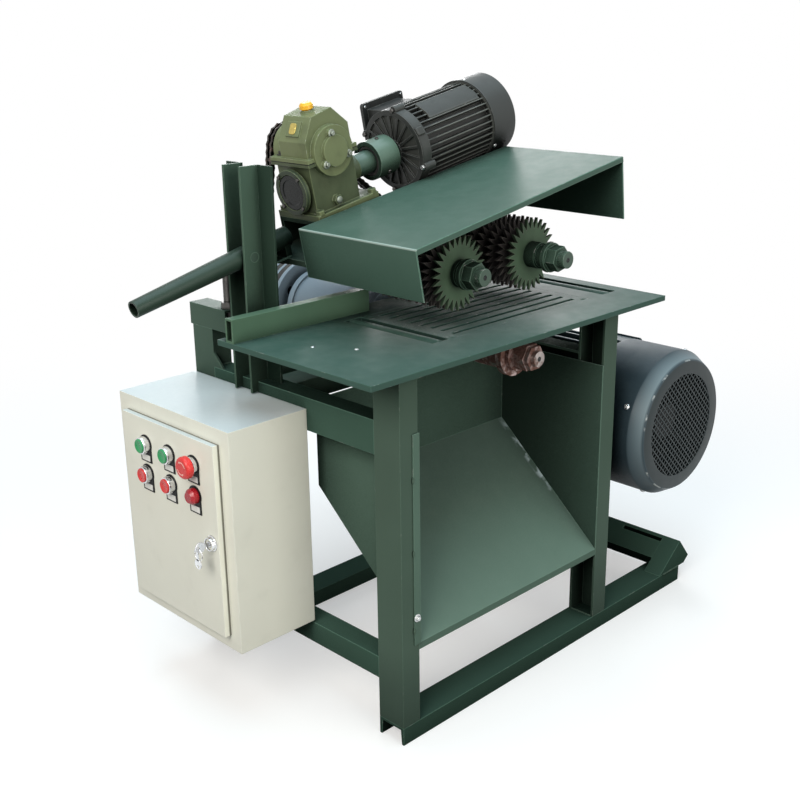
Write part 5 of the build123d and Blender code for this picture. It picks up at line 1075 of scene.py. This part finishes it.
def set_camera():
    """The photograph's view: eye, heading, pitch, roll and lens found from the frame's edges."""
    eye = Vector((-1.43065, -1.4213, 1.1103))
    heading = radians(45.6)
    pitch = radians(18.6)
    roll = radians(-0.8)
    lens_pixels = 1148.0
    frame_pixels = 800.0
    ahead = Vector((cos(pitch) * cos(heading), cos(pitch) * sin(heading), -sin(pitch)))
    level = Vector((sin(heading), -cos(heading), 0))
    upright = level.cross(ahead)
    right = cos(roll) * level + sin(roll) * upright
    up = right.cross(ahead)
    data = bpy.data.cameras.new("camera")
    data.sensor_width = 36.0
    data.lens = lens_pixels * data.sensor_width / frame_pixels
    camera = bpy.data.objects.new("camera", data)
    camera.matrix_world = Matrix.Translation(eye) @ Matrix((right, up, -ahead)).transposed().to_4x4()
    bpy.context.scene.collection.objects.link(camera)
    bpy.context.scene.camera = camera


def area_light(name, place, target, size, watts, colour):
    """A square lamp aimed at a point."""
    data = bpy.data.lights.new(name, "AREA")
    data.size = size
    data.energy = watts
    data.color = colour
    lamp = bpy.data.objects.new(name, data)
    lamp.location = place
    lamp.rotation_euler = (Vector(target) - Vector(place)).to_track_quat("-Z", "Y").to_euler()
    bpy.context.scene.collection.objects.link(lamp)


def seen_directly(tree):
    """1 for rays from the camera, off gloss or through glass, and 0 for light that reaches the object."""
    path = tree.nodes.new("ShaderNodeLightPath")
    total = path.outputs["Is Camera Ray"]
    for ray in ("Is Glossy Ray", "Is Transmission Ray"):
        add = tree.nodes.new("ShaderNodeMath")
        add.operation = "MAXIMUM"
        tree.links.new(total, add.inputs[0])
        tree.links.new(path.outputs[ray], add.inputs[1])
        total = add.outputs["Value"]
    return total


def mixed(tree, share, first, second):
    """One shader fading into another."""
    node = tree.nodes.new("ShaderNodeMixShader")
    tree.links.new(share, node.inputs[0])
    tree.links.new(first.outputs[0], node.inputs[1])
    tree.links.new(second.outputs[0], node.inputs[2])
    return node


def set_light():
    """Soft light from above, from both sides of the camera and from behind, with a white surround."""
    world = bpy.data.worlds.new("studio")
    bpy.context.scene.world = world
    world.use_nodes = True
    tree = world.node_tree
    ambient = tree.nodes["Background"]
    ambient.inputs["Color"].default_value = (0.94, 0.97, 1.0, 1.0)
    ambient.inputs["Strength"].default_value = 0.10
    white = tree.nodes.new("ShaderNodeBackground")
    white.inputs["Color"].default_value = (1, 1, 1, 1)
    surround = mixed(tree, seen_directly(tree), ambient, white)
    tree.links.new(surround.outputs[0], tree.nodes["World Output"].inputs["Surface"])
    area_light("sky", (0.0, -0.2, 3.4), (0, 0, 0.4), size=3.0, watts=76, colour=(0.66, 0.88, 1.0))
    area_light("key", (-3.0, -1.0, 2.3), (0, 0, 0.45), size=2.2, watts=106, colour=(1.0, 0.97, 0.91))
    area_light("side", (-0.2, -3.4, 1.2), (0, 0, 0.45), size=2.2, watts=58, colour=(1.0, 0.98, 0.91))
    area_light("back", (2.6, 2.8, 1.3), (0, 0, 0.5), size=2.2, watts=84, colour=(1.0, 1.0, 1.0))


def set_floor():
    """A pale floor that keeps the shadow, bounces little light back and fades to white far off."""
    half_width = 30
    gap_under_feet = 0.0005
    mesh = bpy.data.meshes.new("floor")
    shape = bmesh.new()
    bmesh.ops.create_grid(shape, x_segments=1, y_segments=1, size=half_width)
    shape.to_mesh(mesh)
    shape.free()
    floor = bpy.data.objects.new("floor", mesh)
    floor.location.z = -gap_under_feet
    bpy.context.scene.collection.objects.link(floor)
    material = bpy.data.materials.new("floor")
    material.use_nodes = True
    tree = material.node_tree
    tree.nodes.remove(tree.nodes["Principled BSDF"])
    pale = tree.nodes.new("ShaderNodeBsdfDiffuse")
    pale.inputs["Color"].default_value = (0.62, 0.62, 0.62, 1)
    lift = tree.nodes.new("ShaderNodeEmission")
    lift.inputs["Strength"].default_value = 0.42
    near = tree.nodes.new("ShaderNodeAddShader")
    tree.links.new(pale.outputs[0], near.inputs[0])
    tree.links.new(lift.outputs[0], near.inputs[1])
    white = tree.nodes.new("ShaderNodeEmission")
    dim = tree.nodes.new("ShaderNodeBsdfDiffuse")
    dim.inputs["Color"].default_value = (0.08, 0.08, 0.077, 1)
    distance = tree.nodes.new("ShaderNodeVectorMath")
    distance.operation = "LENGTH"
    tree.links.new(tree.nodes.new("ShaderNodeTexCoord").outputs["Object"], distance.inputs[0])
    fade = tree.nodes.new("ShaderNodeMapRange")
    fade.interpolation_type = "SMOOTHSTEP"
    fade.inputs["From Min"].default_value = 0.6
    fade.inputs["From Max"].default_value = 2.4
    tree.links.new(distance.outputs["Value"], fade.inputs["Value"])
    shown = mixed(tree, fade.outputs["Result"], near, white)
    surface = mixed(tree, seen_directly(tree), dim, shown)
    tree.links.new(surface.outputs[0], tree.nodes["Material Output"].inputs["Surface"])
    mesh.materials.append(material)


set_camera()
set_light()
set_floor()
bpy.context.scene.view_settings.view_transform = "Standard"
